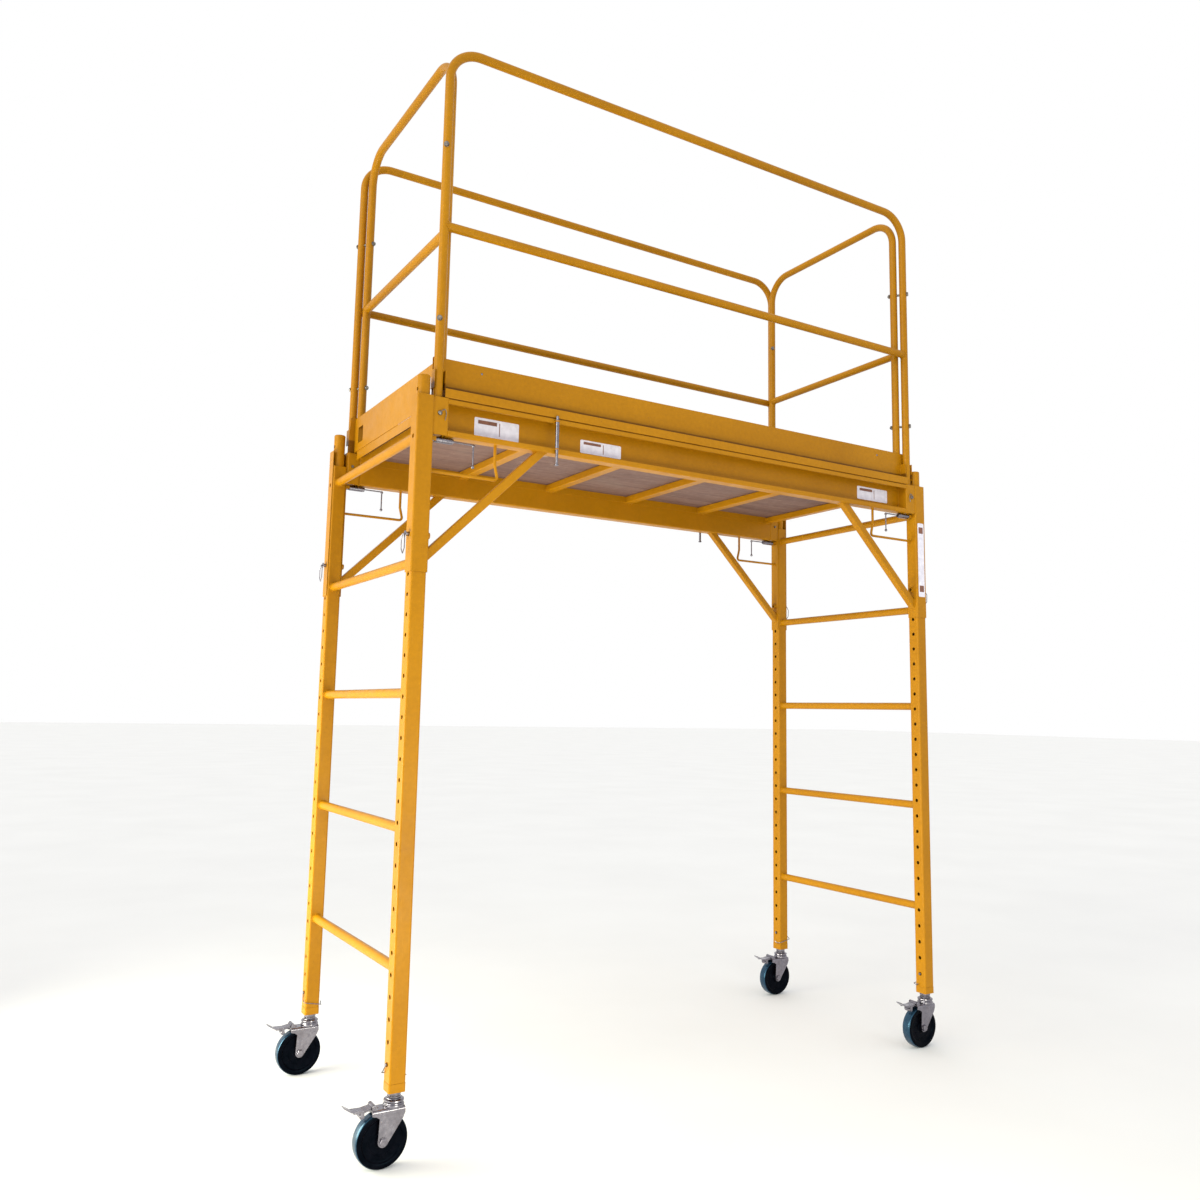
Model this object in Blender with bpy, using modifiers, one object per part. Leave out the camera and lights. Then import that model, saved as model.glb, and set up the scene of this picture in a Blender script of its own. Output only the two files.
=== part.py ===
"""Rolling frame scaffold: two ladder end frames, a sliding platform with guard rails, four braked casters.

Metres, +Z up, the floor at Z = 0. X runs along the platform and Y across it. A corner piece is drawn once,
X and Y measured from its upright's centre line towards the platform's middle, and mirrored to each corner.
"""
import bpy
import bmesh
from math import cos, pi, radians, sin, tan
from mathutils import Matrix, Vector

# Driving dimensions
HALF_X = 0.910               # tower's middle to the uprights' centre lines, along the platform
HALF_Y = 0.355               # the same across the platform
GAP = 0.0003                 # play left between touching pieces
BITE = 0.001                 # how far one piece of a weldment runs into the next
WELD = 0.00003               # points closer than this are one point

UPRIGHT_HALF = 0.0206
UPRIGHT_WALL = 0.0025
UPRIGHT_ROUND = 0.004
UPRIGHT_BOTTOM, UPRIGHT_TOP = 0.186, 1.811
HOLE_PITCH, FIRST_HOLE, HOLE_RADIUS = 0.0508, 0.2266, 0.00575
RUNG_RADIUS, RUNG_WALL = 0.0125, 0.0015
RUNG_PITCH, RUNG_COUNT, FIRST_RUNG = 0.3302, 5, 0.4386
STUB_RADIUS, STUB_WALL = 0.017, 0.003
STUB_BOTTOM, STUB_TOP, STUB_HOLE = 1.720, 1.913, 1.875
FOOT_BOTTOM = 0.166

SLEEVE_HALF, SLEEVE_WALL, SLEEVE_EDGE = 0.0230, 0.0021, 0.018
SLEEVE_BOTTOM, SLEEVE_TOP = 1.401, 1.859
LOCK_HEIGHT = FIRST_HOLE + 30 * HOLE_PITCH      # spring pins, in the top hole of the row
PIN_HEIGHT = FIRST_HOLE + 25 * HOLE_PITCH       # height pins, five holes lower

RAIL_BOTTOM, RAIL_TOP = 1.7592, 1.8582
RAIL_OUT, RAIL_IN = -0.0206, 0.0194
RAIL_WALL, RAIL_LIP = 0.0025, 0.014
SOCKET_START, SOCKET_END = 0.0233, 0.0633
POST_X = 0.0390              # guard rail posts, against the outer wall of their sockets
POST_PIN_HEIGHT = 1.8155
END_POST_X, END_POST_Y = 0.057, 0.0275

DECK_TOP, PLY_THICK = 1.861, 0.013
PLY_END, PLY_EDGE = 0.0455, 0.0222
NOTCH_END, NOTCH_EDGE = 0.0710, 0.0412         # corners cut from the plywood round the end rails' posts
TRAY_END, TRAY_LIP_TOP, TRAY_SHEET = 0.065, 1.884, 0.002
TRAY_LEG, TRAY_LEG_BOTTOM = 0.0197, 1.826
BAR_TOP, BAR_HEIGHT, BAR_WIDTH, BAR_PITCH = 1.8477, 0.023, 0.032, 0.330
END_BAR_X, END_BAR_WIDTH = 0.0769, 0.025

BOARD_SHEET, BOARD_BOTTOM, BOARD_TOP = 0.0015, 1.8613, 1.975
LONG_BOARD_Y, LONG_BOARD_END, INNER_TAB = 0.013, 0.0238, 0.0545
END_BOARD_X, END_BOARD_END, END_BOARD_TOP = 0.0425, 0.0163, 1.969
TAB_BOTTOM, TAB_TOP, TAB_REACH = 1.885, 1.935, 0.025
WINDOW_START, WINDOW_END = 0.050, 0.095

TUBE_RADIUS, TUBE_WALL = 0.0127, 0.0015
TOP_RAIL, MID_RAIL, RAIL_BEND = 2.843, 2.332, 0.090
LONG_POST_FOOT, END_POST_FOOT = 1.762, 1.8617
BOLT_HEIGHT = 2.555
BOLT_RADIUS = 0.004

BRACE_HALF, BRACE_WALL = 0.0115, 0.0016
BRACE_LOW, BRACE_FAR = 1.445, 0.3414
GUARD_RADIUS, GUARD_FAR, GUARD_LOW = 0.004, 0.2074, 1.666
BARREL_RADIUS, BARREL_BORE = 0.0083, 0.0060
BARREL_START, BARREL_END = 0.0344, 0.0864
HANDLE_X, HANDLE_LOW = 0.1444, 1.695
DECK_LOCK_X, DECK_LOCK_Y = 0.3790, -0.0285
DECK_LOCK_RADIUS, DECK_LOCK_BORE = 0.007, 0.0046

CASTER_TRAIL = 0.030
WHEEL_RADIUS, WHEEL_HALF, WHEEL_SIDES = 0.0635, 0.016, 16
WHEEL_BORE = 0.0066
FORK_HALF, FORK_SHEET, FORK_TOP = 0.0215, 0.003, 0.1345
STEM_RADIUS, STEM_TOP = 0.011, 0.262
STEM_FLANGE, STEM_FLANGE_BOTTOM = 0.0165, 0.1523
PEDAL_PIVOT_X, PEDAL_PIVOT_Z = -0.052, 0.1405
PEDAL_TIP = -0.123

PIN_HEAD = -0.0345           # outer face of a height pin's head
BAIL_RADIUS = 0.0012
BAIL_OUT = -0.038
# The casters reach further from the tower's middle than the pins do, so the middle of the whole is off it.
MIDDLE_X = (-PEDAL_TIP + BAIL_OUT - BAIL_RADIUS) / 2

SIDES = 10
SIDE_NAMES = {-1: "left", 1: "right"}
FLANK_NAMES = {-1: "near", 1: "far"}
CORNERS = [(side, flank) for side in (-1, 1) for flank in (-1, 1)]

# Base colour, roughness and metallic value
FINISHES = {
    "amber_paint": ((0.72, 0.36, 0.02), 0.38, 0.0),
    "zinc": ((0.62, 0.63, 0.65), 0.32, 1.0),
    "dark_steel": ((0.22, 0.20, 0.19), 0.40, 1.0),
    "plywood": ((0.34, 0.22, 0.15), 0.75, 0.0),
    "black_wheel": ((0.012, 0.013, 0.016), 0.35, 0.0),
}


def clear_scene():
    for existing in list(bpy.data.objects):
        bpy.data.objects.remove(existing, do_unlink=True)


# Shapes: each function returns a mesh


def mesh_of(bm):
    mesh = bpy.data.meshes.new("shape")
    bm.to_mesh(mesh)
    bm.free()
    return mesh


def box(low, high):
    """A box between two opposite corners."""
    low, high = Vector(low), Vector(high)
    size = high - low
    bm = bmesh.new()
    matrix = Matrix.Translation((low + high) / 2) @ Matrix.Diagonal((*size, 1.0))
    bmesh.ops.create_cube(bm, size=1.0, matrix=matrix)
    return mesh_of(bm)


def rod(start, end, radius, sides=SIDES, end_radius=None):
    """A round bar, or a cone when end_radius is given."""
    start, end = Vector(start), Vector(end)
    axis = end - start
    turn = axis.to_track_quat("Z", "Y").to_matrix().to_4x4() @ Matrix.Rotation(pi / sides, 4, "Z")
    bm = bmesh.new()
    bmesh.ops.create_cone(
        bm, cap_ends=True, segments=sides, radius1=radius, radius2=end_radius or radius,
        depth=axis.length, matrix=Matrix.Translation((start + end) / 2) @ turn)
    return mesh_of(bm)


def drill(start, end, radius, sides=6):
    """A cutter whose flats touch the round hole it stands for."""
    return rod(start, end, radius / cos(pi / sides), sides)


def evaluated(item):
    """The item's mesh with its modifiers, welded, after which the item is removed."""
    bpy.context.view_layer.update()
    graph = bpy.context.evaluated_depsgraph_get()
    mesh = bpy.data.meshes.new_from_object(item.evaluated_get(graph))
    mesh.transform(item.matrix_world)
    bpy.data.objects.remove(item, do_unlink=True)
    bm = bmesh.new()
    bm.from_mesh(mesh)
    bmesh.ops.remove_doubles(bm, verts=bm.verts, dist=WELD)
    bmesh.ops.recalc_face_normals(bm, faces=bm.faces)
    bm.to_mesh(mesh)
    bm.free()
    return mesh


def working_item(data):
    item = bpy.data.objects.new("working", data)
    bpy.context.scene.collection.objects.link(item)
    return item


PLANES = {
    "XY": Matrix.Identity(4),
    "YZ": Matrix(((0, 0, 1, 0), (1, 0, 0, 0), (0, 1, 0, 0), (0, 0, 0, 1))),
    "XZ": Matrix(((1, 0, 0, 0), (0, 0, -1, 0), (0, 1, 0, 0), (0, 0, 0, 1))),
}
NORMALS = {"XY": Vector((0, 0, 1)), "YZ": Vector((1, 0, 0)), "XZ": Vector((0, 1, 0))}


def extruded(outlines, plane, low, high):
    """Flat outlines in a plane, holes included, extruded between two places on its normal."""
    curve = bpy.data.curves.new("outline", "CURVE")
    curve.dimensions = "2D"
    curve.fill_mode = "BOTH"
    curve.extrude = (high - low) / 2
    for outline in outlines:
        spline = curve.splines.new("POLY")
        spline.points.add(len(outline) - 1)
        for point, (a, b) in zip(spline.points, outline):
            point.co = (a, b, 0, 1)
        spline.use_cyclic_u = True
    item = working_item(curve)
    item.matrix_world = Matrix.Translation(NORMALS[plane] * (low + high) / 2) @ PLANES[plane]
    return evaluated(item)


def tube_path(points, radius, resolution=2):
    """A round bar along straight runs, with 4 + 2 * resolution sides."""
    curve = bpy.data.curves.new("path", "CURVE")
    curve.dimensions = "3D"
    curve.bevel_depth = radius
    curve.bevel_resolution = resolution
    curve.use_fill_caps = True
    spline = curve.splines.new("POLY")
    spline.points.add(len(points) - 1)
    for point, place in zip(spline.points, points):
        point.co = (*place, 1)
    return evaluated(working_item(curve))


def turned(profile, sides):
    """A closed profile of (radius, height) points swept round Z, its outer side running downwards."""
    mesh = bpy.data.meshes.new("profile")
    count = len(profile)
    edges = [(i, (i + 1) % count) for i in range(count)]
    mesh.from_pydata([(r, 0, z) for r, z in profile], edges, [])
    item = working_item(mesh)
    screw = item.modifiers.new("turn", "SCREW")
    screw.steps = screw.render_steps = sides
    screw.use_merge_vertices = True
    screw.merge_threshold = 1e-5
    return evaluated(item)


def combined(shapes):
    """Several shapes in one mesh, for cutters and for pieces still to be joined."""
    bm = bmesh.new()
    for shape in shapes:
        bm.from_mesh(shape)
    return mesh_of(bm)


def boolean(body, tools, operation="DIFFERENCE"):
    """The body with tools cut from it, or kept only inside them."""
    item = working_item(body)
    cutter = working_item(combined(tools))
    modifier = item.modifiers.new("cut", "BOOLEAN")
    modifier.object = cutter
    modifier.operation = operation
    modifier.solver = "EXACT"
    mesh = evaluated(item)
    bpy.data.objects.remove(cutter, do_unlink=True)
    return mesh


def welded(body, *groups):
    """The body joined with each group of shapes in turn. Shapes of one group stay clear of each other."""
    for group in groups:
        body = boolean(body, group, "UNION")
    return body


def moved(mesh, matrix):
    """A copy moved by a matrix, its faces turned back out if the matrix mirrors."""
    copy = mesh.copy()
    copy.transform(matrix)
    if matrix.determinant() < 0:
        copy.flip_normals()
    return copy


def corner_matrix(side, flank):
    """Corner coordinates to the tower's: X and Y point from the upright to the platform's middle."""
    return Matrix.Translation((side * HALF_X, flank * HALF_Y, 0)) @ Matrix.Diagonal((-side, -flank, 1, 1))


def at_corner(mesh, side, flank):
    return moved(mesh, corner_matrix(side, flank))


def at_corners(mesh, corners=CORNERS):
    return [at_corner(mesh, side, flank) for side, flank in corners]


# Outlines


def arc(centre, radius, start, end, steps):
    """Points of an arc, angles in degrees."""
    angles = [radians(start + (end - start) * i / steps) for i in range(steps + 1)]
    return [(centre[0] + radius * cos(a), centre[1] + radius * sin(a)) for a in angles]


def circle(centre, radius, sides=SIDES):
    return arc(centre, radius, 0, 360 - 360 / sides, sides - 1)


def rounded_square(half, radius, steps=1):
    inner = half - radius
    points = []
    for start, (x, y) in zip((0, 90, 180, 270), ((1, 1), (-1, 1), (-1, -1), (1, -1))):
        points += arc((x * inner, y * inner), radius, start, start + 90, steps)
    return points


def rectangle(low, high):
    return [(low[0], low[1]), (high[0], low[1]), (high[0], high[1]), (low[0], high[1])]


def bent(points, radius, steps=3):
    """A path through points with each inner corner rounded to a bend of the given radius."""
    points = [Vector(p) for p in points]
    path = [points[0]]
    for before, corner, after in zip(points, points[1:], points[2:]):
        back, ahead = (before - corner).normalized(), (after - corner).normalized()
        half_angle = back.angle(ahead) / 2
        start = corner + back * (radius / tan(half_angle))
        centre = corner + (back + ahead).normalized() * (radius / sin(half_angle))
        axis = back.cross(ahead)
        sweep = pi - 2 * half_angle
        for i in range(steps + 1):
            turn = Matrix.Rotation(-sweep * i / steps, 3, axis)
            path.append(centre + turn @ (start - centre))
    return path + [points[-1]]


# Nodes and joints


def make_materials():
    materials = {}
    for name, (colour, roughness, metallic) in FINISHES.items():
        material = bpy.data.materials.new(name)
        material.use_nodes = True
        shader = material.node_tree.nodes["Principled BSDF"]
        shader.inputs["Base Color"].default_value = (*colour, 1)
        shader.inputs["Roughness"].default_value = roughness
        shader.inputs["Metallic"].default_value = metallic
        materials[name] = material
    return materials


def joint_empty(name, origin, parent):
    """An empty on a joint's axis, the parent of what moves with it."""
    empty = bpy.data.objects.new(name, None)
    empty.empty_display_size = 0.05
    parts.objects.link(empty)
    attach(empty, origin, parent)
    return empty


def attach(item, origin, parent):
    item.location = origin
    if parent:
        item.parent = parent
        item.matrix_parent_inverse = parent.matrix_world.inverted()
    bpy.context.view_layer.update()


def node(name, shape, finish, parent, origin=(0, 0, 0)):
    """One named sub-part from a shape drawn in the tower's coordinates, with its own material."""
    mesh = shape.copy()
    mesh.name = name
    mesh.transform(Matrix.Translation(-Vector(origin)))
    mesh.shade_smooth()
    mesh.set_sharp_from_angle(angle=radians(35))
    material = materials[finish].copy()
    material.name = name
    mesh.materials.append(material)
    item = bpy.data.objects.new(name, mesh)
    parts.objects.link(item)
    attach(item, origin, parent)
    return item


# End frames


def upright():
    """A square tube, closed in at the foot round the caster's stem, in corner coordinates."""
    tube = extruded([rounded_square(UPRIGHT_HALF, UPRIGHT_ROUND),
                     rounded_square(UPRIGHT_HALF - UPRIGHT_WALL, UPRIGHT_ROUND - UPRIGHT_WALL)],
                    "XY", UPRIGHT_BOTTOM - BITE, UPRIGHT_TOP)
    proud = 0.0005
    foot = extruded([rounded_square(UPRIGHT_HALF + proud, UPRIGHT_ROUND + proud),
                     circle((0, 0), STEM_RADIUS + 0.001)], "XY", FOOT_BOTTOM, UPRIGHT_BOTTOM)
    return welded(tube, [foot])


def end_frame(side):
    """Two uprights and the rungs welded between them. Each rung's bore opens into both uprights.

    Of the row of holes in each upright, only those with a pin are cut here.
    """
    uprights = at_corners(upright(), [(side, -1), (side, 1)])
    reach = HALF_Y - UPRIGHT_HALF
    x = side * HALF_X
    heights = [FIRST_RUNG + i * RUNG_PITCH for i in range(RUNG_COUNT)]
    bars = [rod((x, -reach - BITE, z), (x, reach + BITE, z), RUNG_RADIUS, 8) for z in heights]
    bore = reach + 2 * UPRIGHT_WALL
    bores = [rod((x, -bore, z), (x, bore, z), RUNG_RADIUS - RUNG_WALL, 8) for z in heights]
    holes = [drill((x - 0.03, y, z), (x + 0.03, y, z), HOLE_RADIUS)
             for y in (-HALF_Y, HALF_Y) for z in (FIRST_HOLE, PIN_HEIGHT, LOCK_HEIGHT)]
    return boolean(welded(combined(uprights), bars), bores + holes)


def coupling_stub():
    tube = extruded([circle((0, 0), STUB_RADIUS), circle((0, 0), STUB_RADIUS - STUB_WALL)],
                    "XY", STUB_BOTTOM, STUB_TOP)
    return boolean(tube, [drill((-0.03, 0, STUB_HOLE), (0.03, 0, STUB_HOLE), 0.0055)])


def caster_stem():
    """The pinned stem with the flange that the caster's race turns under."""
    stem = turned([(0, STEM_TOP), (STEM_RADIUS, STEM_TOP), (STEM_RADIUS, FOOT_BOTTOM - GAP),
                   (STEM_FLANGE, FOOT_BOTTOM - GAP), (STEM_FLANGE, STEM_FLANGE_BOTTOM),
                   (0, STEM_FLANGE_BOTTOM)], SIDES)
    return boolean(stem, [drill((-0.03, 0, FIRST_HOLE), (0.03, 0, FIRST_HOLE), 0.0046)])


def caster_pin():
    """A cross pin through upright and stem, with a wire that swings round the inner side and clips on."""
    reach = UPRIGHT_HALF + 0.0045
    pin = rod((-reach, 0, FIRST_HOLE), (reach, 0, FIRST_HOLE), 0.004, 8)
    drops = [(-reach + 0.002, 0.001, -0.001), (-reach - 0.001, 0.012, -0.018), (-reach, 0.0240, -0.024),
             (reach, 0.0240, -0.034), (reach + 0.001, 0.010, -0.036), (reach + 0.004, 0.002, -0.030)]
    path = [(x, y, FIRST_HOLE + z) for x, y, z in drops]
    return welded(pin, [tube_path(path, BAIL_RADIUS, 0)])


def build_end_frame(side, parent):
    name = SIDE_NAMES[side]
    node(f"{name}_end_frame", end_frame(side), "amber_paint", parent)
    small = {"coupling_stub": (coupling_stub(), "amber_paint"), "caster_stem": (caster_stem(), "zinc"),
             "caster_pin": (caster_pin(), "zinc")}
    for flank in (-1, 1):
        for piece, (mesh, finish) in small.items():
            node(f"{piece}_{name}_{FLANK_NAMES[flank]}", at_corner(mesh, side, flank), finish, parent)


# Platform


def on_flank(mesh, flank):
    """A piece drawn along the near side, Y measured from the uprights inwards, put on either side."""
    return moved(mesh, Matrix.Translation((0, flank * HALF_Y, 0)) @ Matrix.Diagonal((1, -flank, 1, 1)))


def sleeve():
    """A channel round three sides of an upright, open towards the rungs."""
    out, edge = SLEEVE_HALF, SLEEVE_EDGE
    inner = out - SLEEVE_WALL
    outline = [(-out, -out), (out, -out), (out, edge), (inner, edge),
               (inner, -inner), (-inner, -inner), (-inner, edge), (-out, edge)]
    return extruded([outline], "XY", SLEEVE_BOTTOM, SLEEVE_TOP)


def channel_rail():
    """A lipped channel that opens outwards."""
    out, back, wall, lip = RAIL_OUT, RAIL_IN, RAIL_WALL, RAIL_LIP
    low, high = RAIL_BOTTOM, RAIL_TOP
    outline = [(out, low), (back, low), (back, high), (out, high), (out, high - lip),
               (out + wall, high - lip), (out + wall, high - wall), (back - wall, high - wall),
               (back - wall, low + wall), (out + wall, low + wall), (out + wall, low + lip), (out, low + lip)]
    half_length = HALF_X - SOCKET_END + BITE
    return extruded([outline], "YZ", -half_length, half_length)


def end_socket():
    """The square tube at a side rail's end that takes a guard rail post."""
    mid_x = (SOCKET_START + SOCKET_END) / 2
    mid_y = (RAIL_OUT + RAIL_IN) / 2
    half = (SOCKET_END - SOCKET_START) / 2
    proud = 0.0004           # the tube stands a little proud of the channel welded to it
    outlines = [[(mid_x - size - shift, mid_y - size), (mid_x + size, mid_y - size),
                 (mid_x + size, mid_y + size), (mid_x - size - shift, mid_y + size)]
                for size, shift in ((half + proud, proud), (half - RAIL_WALL, 0))]
    return extruded(outlines, "XY", RAIL_BOTTOM - proud, RAIL_TOP + proud)


def slanted(half, start, beyond):
    """The side view of a brace, or of its bore, from the sleeve's face to past the rail's underside."""
    low_x = SLEEVE_HALF
    run, rise = BRACE_FAR - low_x, RAIL_BOTTOM - BRACE_LOW
    length = (run * run + rise * rise) ** 0.5
    up, along = half * length / run, half * length / rise
    near, low = low_x + start, BRACE_LOW + start * rise / run
    far, top = BRACE_FAR + beyond * run / rise, RAIL_BOTTOM + beyond
    return [(near, low - up), (far + along, top), (far - along, top), (near, low + up)]


def pin_guard():
    """The bent wire between side rail and sleeve that keeps knocks off the spring pin's handle."""
    kick = 0.010
    corners = [(GUARD_FAR, 0, RAIL_BOTTOM + BITE), (GUARD_FAR, 0, GUARD_LOW + 0.041),
               (GUARD_FAR + kick, 0, GUARD_LOW), (SLEEVE_HALF - BITE, 0, GUARD_LOW)]
    return tube_path(bent(corners, 0.009, 1), GUARD_RADIUS, 1)


def along_x(radius, bore, start, end, height, sides=8):
    """A tube along X on the upright's centre plane."""
    ring = extruded([circle((0, 0), radius, sides), circle((0, 0), bore, sides)], "YZ", start, end)
    ring.transform(Matrix.Translation((0, 0, height)))
    return ring


def lock_barrel():
    """A spring pin's barrel and the two cheeks that carry it off the sleeve."""
    barrel = along_x(BARREL_RADIUS, BARREL_BORE, BARREL_START, BARREL_END, LOCK_HEIGHT)
    start, end = SLEEVE_HALF - BITE, BARREL_START + 2 * BITE
    cheeks = [box((start, y - 0.001, LOCK_HEIGHT - 0.0055), (end, y + 0.001, LOCK_HEIGHT + 0.0055))
              for y in (-0.0074, 0.0074)]
    return welded(barrel, cheeks)


def deck_lock_barrel():
    """The upright barrel of a deck lock on its two lugs, which stand off the rail's lips."""
    x, y = DECK_LOCK_X, DECK_LOCK_Y
    barrel = rod((x, y, 1.768), (x, y, 1.853), DECK_LOCK_RADIUS, 8)
    lugs = [box((x - 0.005, y, low), (x + 0.005, RAIL_OUT + BITE, high))
            for low, high in ((1.7685, 1.7715), (1.8460, 1.8500))]
    return boolean(welded(barrel, lugs), [rod((x, y, 1.74), (x, y, 1.87), DECK_LOCK_BORE, 8)])


def pin_boss():
    """The guide ring for a height pin's far end, on the sleeve's inner face."""
    return along_x(0.0085, 0.0060, SLEEVE_HALF - BITE, SLEEVE_HALF + 0.009, PIN_HEIGHT)


def side_frame(flank):
    """One side's weldment: rail, sockets, sleeves, braces, pin guards, spring pin barrels and bosses."""
    corners = [(-1, flank), (1, flank)]
    bar = extruded([slanted(BRACE_HALF, -BITE, BITE)], "XZ", -BRACE_HALF, BRACE_HALF)
    inside = BRACE_HALF - BRACE_WALL
    bore = extruded([slanted(inside, BITE, 2 * RAIL_WALL)], "XZ", -inside, inside)
    heights = (LOCK_HEIGHT, PIN_HEIGHT)
    sleeve_holes = combined([drill((-0.03, 0, z), (0.0225, 0, z), 0.0066) for z in heights])
    tip_hole = drill((0, 0, LOCK_HEIGHT), (0.026, 0, LOCK_HEIGHT), 0.0062)
    tip_bore = drill((0, 0, PIN_HEIGHT), (0.026, 0, PIN_HEIGHT), 0.0052)
    post_hole = drill((POST_X, -0.03, POST_PIN_HEIGHT), (POST_X, 0.03, POST_PIN_HEIGHT), 0.0046)
    frame = welded(on_flank(channel_rail(), flank), at_corners(end_socket(), corners),
                   at_corners(sleeve(), corners), at_corners(bar, corners), at_corners(pin_guard(), corners),
                   at_corners(lock_barrel(), corners) + at_corners(pin_boss(), corners),
                   [at_corner(deck_lock_barrel(), flank, flank)])
    for cutter in (bore, sleeve_holes, tip_hole, tip_bore, post_hole):
        frame = boolean(frame, at_corners(cutter, corners))
    return frame


def tray_edge(flank):
    """The tray's bent edge: a lip over the rail's outer edge, a flange on it and a leg behind its web."""
    low = RAIL_TOP + GAP
    high = low + TRAY_SHEET
    inner = TRAY_LEG + TRAY_SHEET
    outline = [(RAIL_OUT, low), (TRAY_LEG, low), (TRAY_LEG, TRAY_LEG_BOTTOM), (inner, TRAY_LEG_BOTTOM),
               (inner, high), (RAIL_OUT + TRAY_SHEET, high), (RAIL_OUT + TRAY_SHEET, TRAY_LIP_TOP),
               (RAIL_OUT, TRAY_LIP_TOP)]
    half_length = HALF_X - TRAY_END
    return on_flank(extruded([outline], "YZ", -half_length, half_length), flank)


def deck_tray():
    """Two bent edges and the hollow bars welded between them, open through the edges' legs."""
    reach = HALF_Y - TRAY_LEG - TRAY_SHEET
    end = HALF_X - END_BAR_X
    places = [(x * BAR_PITCH, BAR_WIDTH) for x in (-1.5, -0.5, 0.5, 1.5)]
    places += [(-end, END_BAR_WIDTH), (end, END_BAR_WIDTH)]
    bars, bores = [], []
    wall, low = 0.002, BAR_TOP - BAR_HEIGHT
    for x, width in places:
        half = width / 2
        inside, past = half - wall, reach + 0.01
        bars.append(box((x - half, -reach - BITE, low), (x + half, reach + BITE, BAR_TOP)))
        bores.append(box((x - inside, -past, low + wall), (x + inside, past, BAR_TOP - wall)))
    return boolean(welded(combined([tray_edge(-1), tray_edge(1)]), bars), bores)


def deck_panel():
    """The plywood, notched at each corner round the end rail's post."""
    x, y = HALF_X - PLY_END, HALF_Y - PLY_EDGE
    notch_x, notch_y = HALF_X - NOTCH_END, HALF_Y - NOTCH_EDGE
    outline = [(x, notch_y), (notch_x, notch_y), (notch_x, y),
               (-notch_x, y), (-notch_x, notch_y), (-x, notch_y),
               (-x, -notch_y), (-notch_x, -notch_y), (-notch_x, -y),
               (notch_x, -y), (notch_x, -notch_y), (x, -notch_y)]
    return extruded([outline], "XY", DECK_TOP - PLY_THICK, DECK_TOP)


def long_toe_board(flank):
    """A board along the platform with forked tabs round each guard rail post."""
    half_length = HALF_X - LONG_BOARD_END
    front, back = LONG_BOARD_Y, LONG_BOARD_Y + BOARD_SHEET
    board = box((-half_length, front, BOARD_BOTTOM), (half_length, back, BOARD_TOP))
    tabs = []
    for tab in (LONG_BOARD_END + GAP, INNER_TAB):
        for side in (-1, 1):
            edges = sorted(side * (HALF_X - edge) for edge in (tab, tab + BOARD_SHEET))
            tabs.append(box((edges[0], front - TAB_REACH, TAB_BOTTOM), (edges[1], front + BITE, TAB_TOP)))
    return on_flank(welded(board, tabs), flank)


def end_toe_board(side):
    """A board across the platform's end, a tab cut from it and bent in beside each post."""
    half_length = HALF_Y - END_BOARD_END
    windows, tabs = [], []
    back = END_BOARD_X + BOARD_SHEET
    for flank in (-1, 1):
        edges = sorted(flank * (HALF_Y - edge) for edge in (WINDOW_START, WINDOW_END))
        windows.append(rectangle((edges[0], TAB_BOTTOM), (edges[1], TAB_TOP)))
        tab = sorted(flank * (HALF_Y - edge) for edge in (WINDOW_START - BOARD_SHEET, WINDOW_START - GAP))
        tabs.append(box((back - BITE, tab[0], TAB_BOTTOM), (back + TAB_REACH, tab[1], TAB_TOP)))
    outline = rectangle((-half_length, BOARD_BOTTOM), (half_length, END_BOARD_TOP))
    board = welded(extruded([outline] + windows, "YZ", END_BOARD_X, back), tabs)
    return moved(board, Matrix.Translation((side * HALF_X, 0, 0)) @ Matrix.Diagonal((-side, 1, 1, 1)))


def bolt_line(height, before, after):
    """A straight line through both posts of a corner, run on past each post's centre."""
    long_post, end_post = Vector((POST_X, 0, height)), Vector((END_POST_X, END_POST_Y, height))
    along = (end_post - long_post).normalized()
    return long_post - along * before, end_post + along * after


def guard_rail(ends, foot, drills):
    """A bent tube with a post at each end and a mid rail welded between them, its bore open to both."""
    start, end = (Vector(place) for place in ends)
    along = (end - start).normalized()

    def hoop(radius, below):
        corners = [(*start, foot - below), (*start, TOP_RAIL), (*end, TOP_RAIL), (*end, foot - below)]
        return tube_path(bent(corners, RAIL_BEND), radius)

    def bar(radius, short):
        return tube_path([(*(start + along * short), MID_RAIL), (*(end - along * short), MID_RAIL)], radius)

    bore = TUBE_RADIUS - TUBE_WALL
    rail = welded(hoop(TUBE_RADIUS, 0), [bar(TUBE_RADIUS, bore)])
    rail = boolean(rail, [hoop(bore, 0.01)])
    return boolean(rail, [bar(bore - GAP, bore / 2)] + drills)


def corner_drills(corners, with_pin):
    """Cutters for the bolts that join two guard rails and, in a socketed post, for its pin."""
    shapes = []
    for side, flank in corners:
        bolt = drill(*bolt_line(BOLT_HEIGHT, 0.02, 0.02), BOLT_RADIUS + 0.0005)
        shapes.append(at_corner(bolt, side, flank))
        if with_pin:
            pin = drill((POST_X, -0.03, POST_PIN_HEIGHT), (POST_X, 0.03, POST_PIN_HEIGHT), 0.0046)
            shapes.append(at_corner(pin, side, flank))
    return shapes


def long_guard_rail(flank):
    x, y = HALF_X - POST_X, flank * HALF_Y
    return guard_rail([(-x, y), (x, y)], LONG_POST_FOOT, corner_drills([(-1, flank), (1, flank)], True))


def end_guard_rail(side):
    x, y = side * (HALF_X - END_POST_X), HALF_Y - END_POST_Y
    return guard_rail([(x, -y), (x, y)], END_POST_FOOT, corner_drills([(side, -1), (side, 1)], False))


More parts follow.
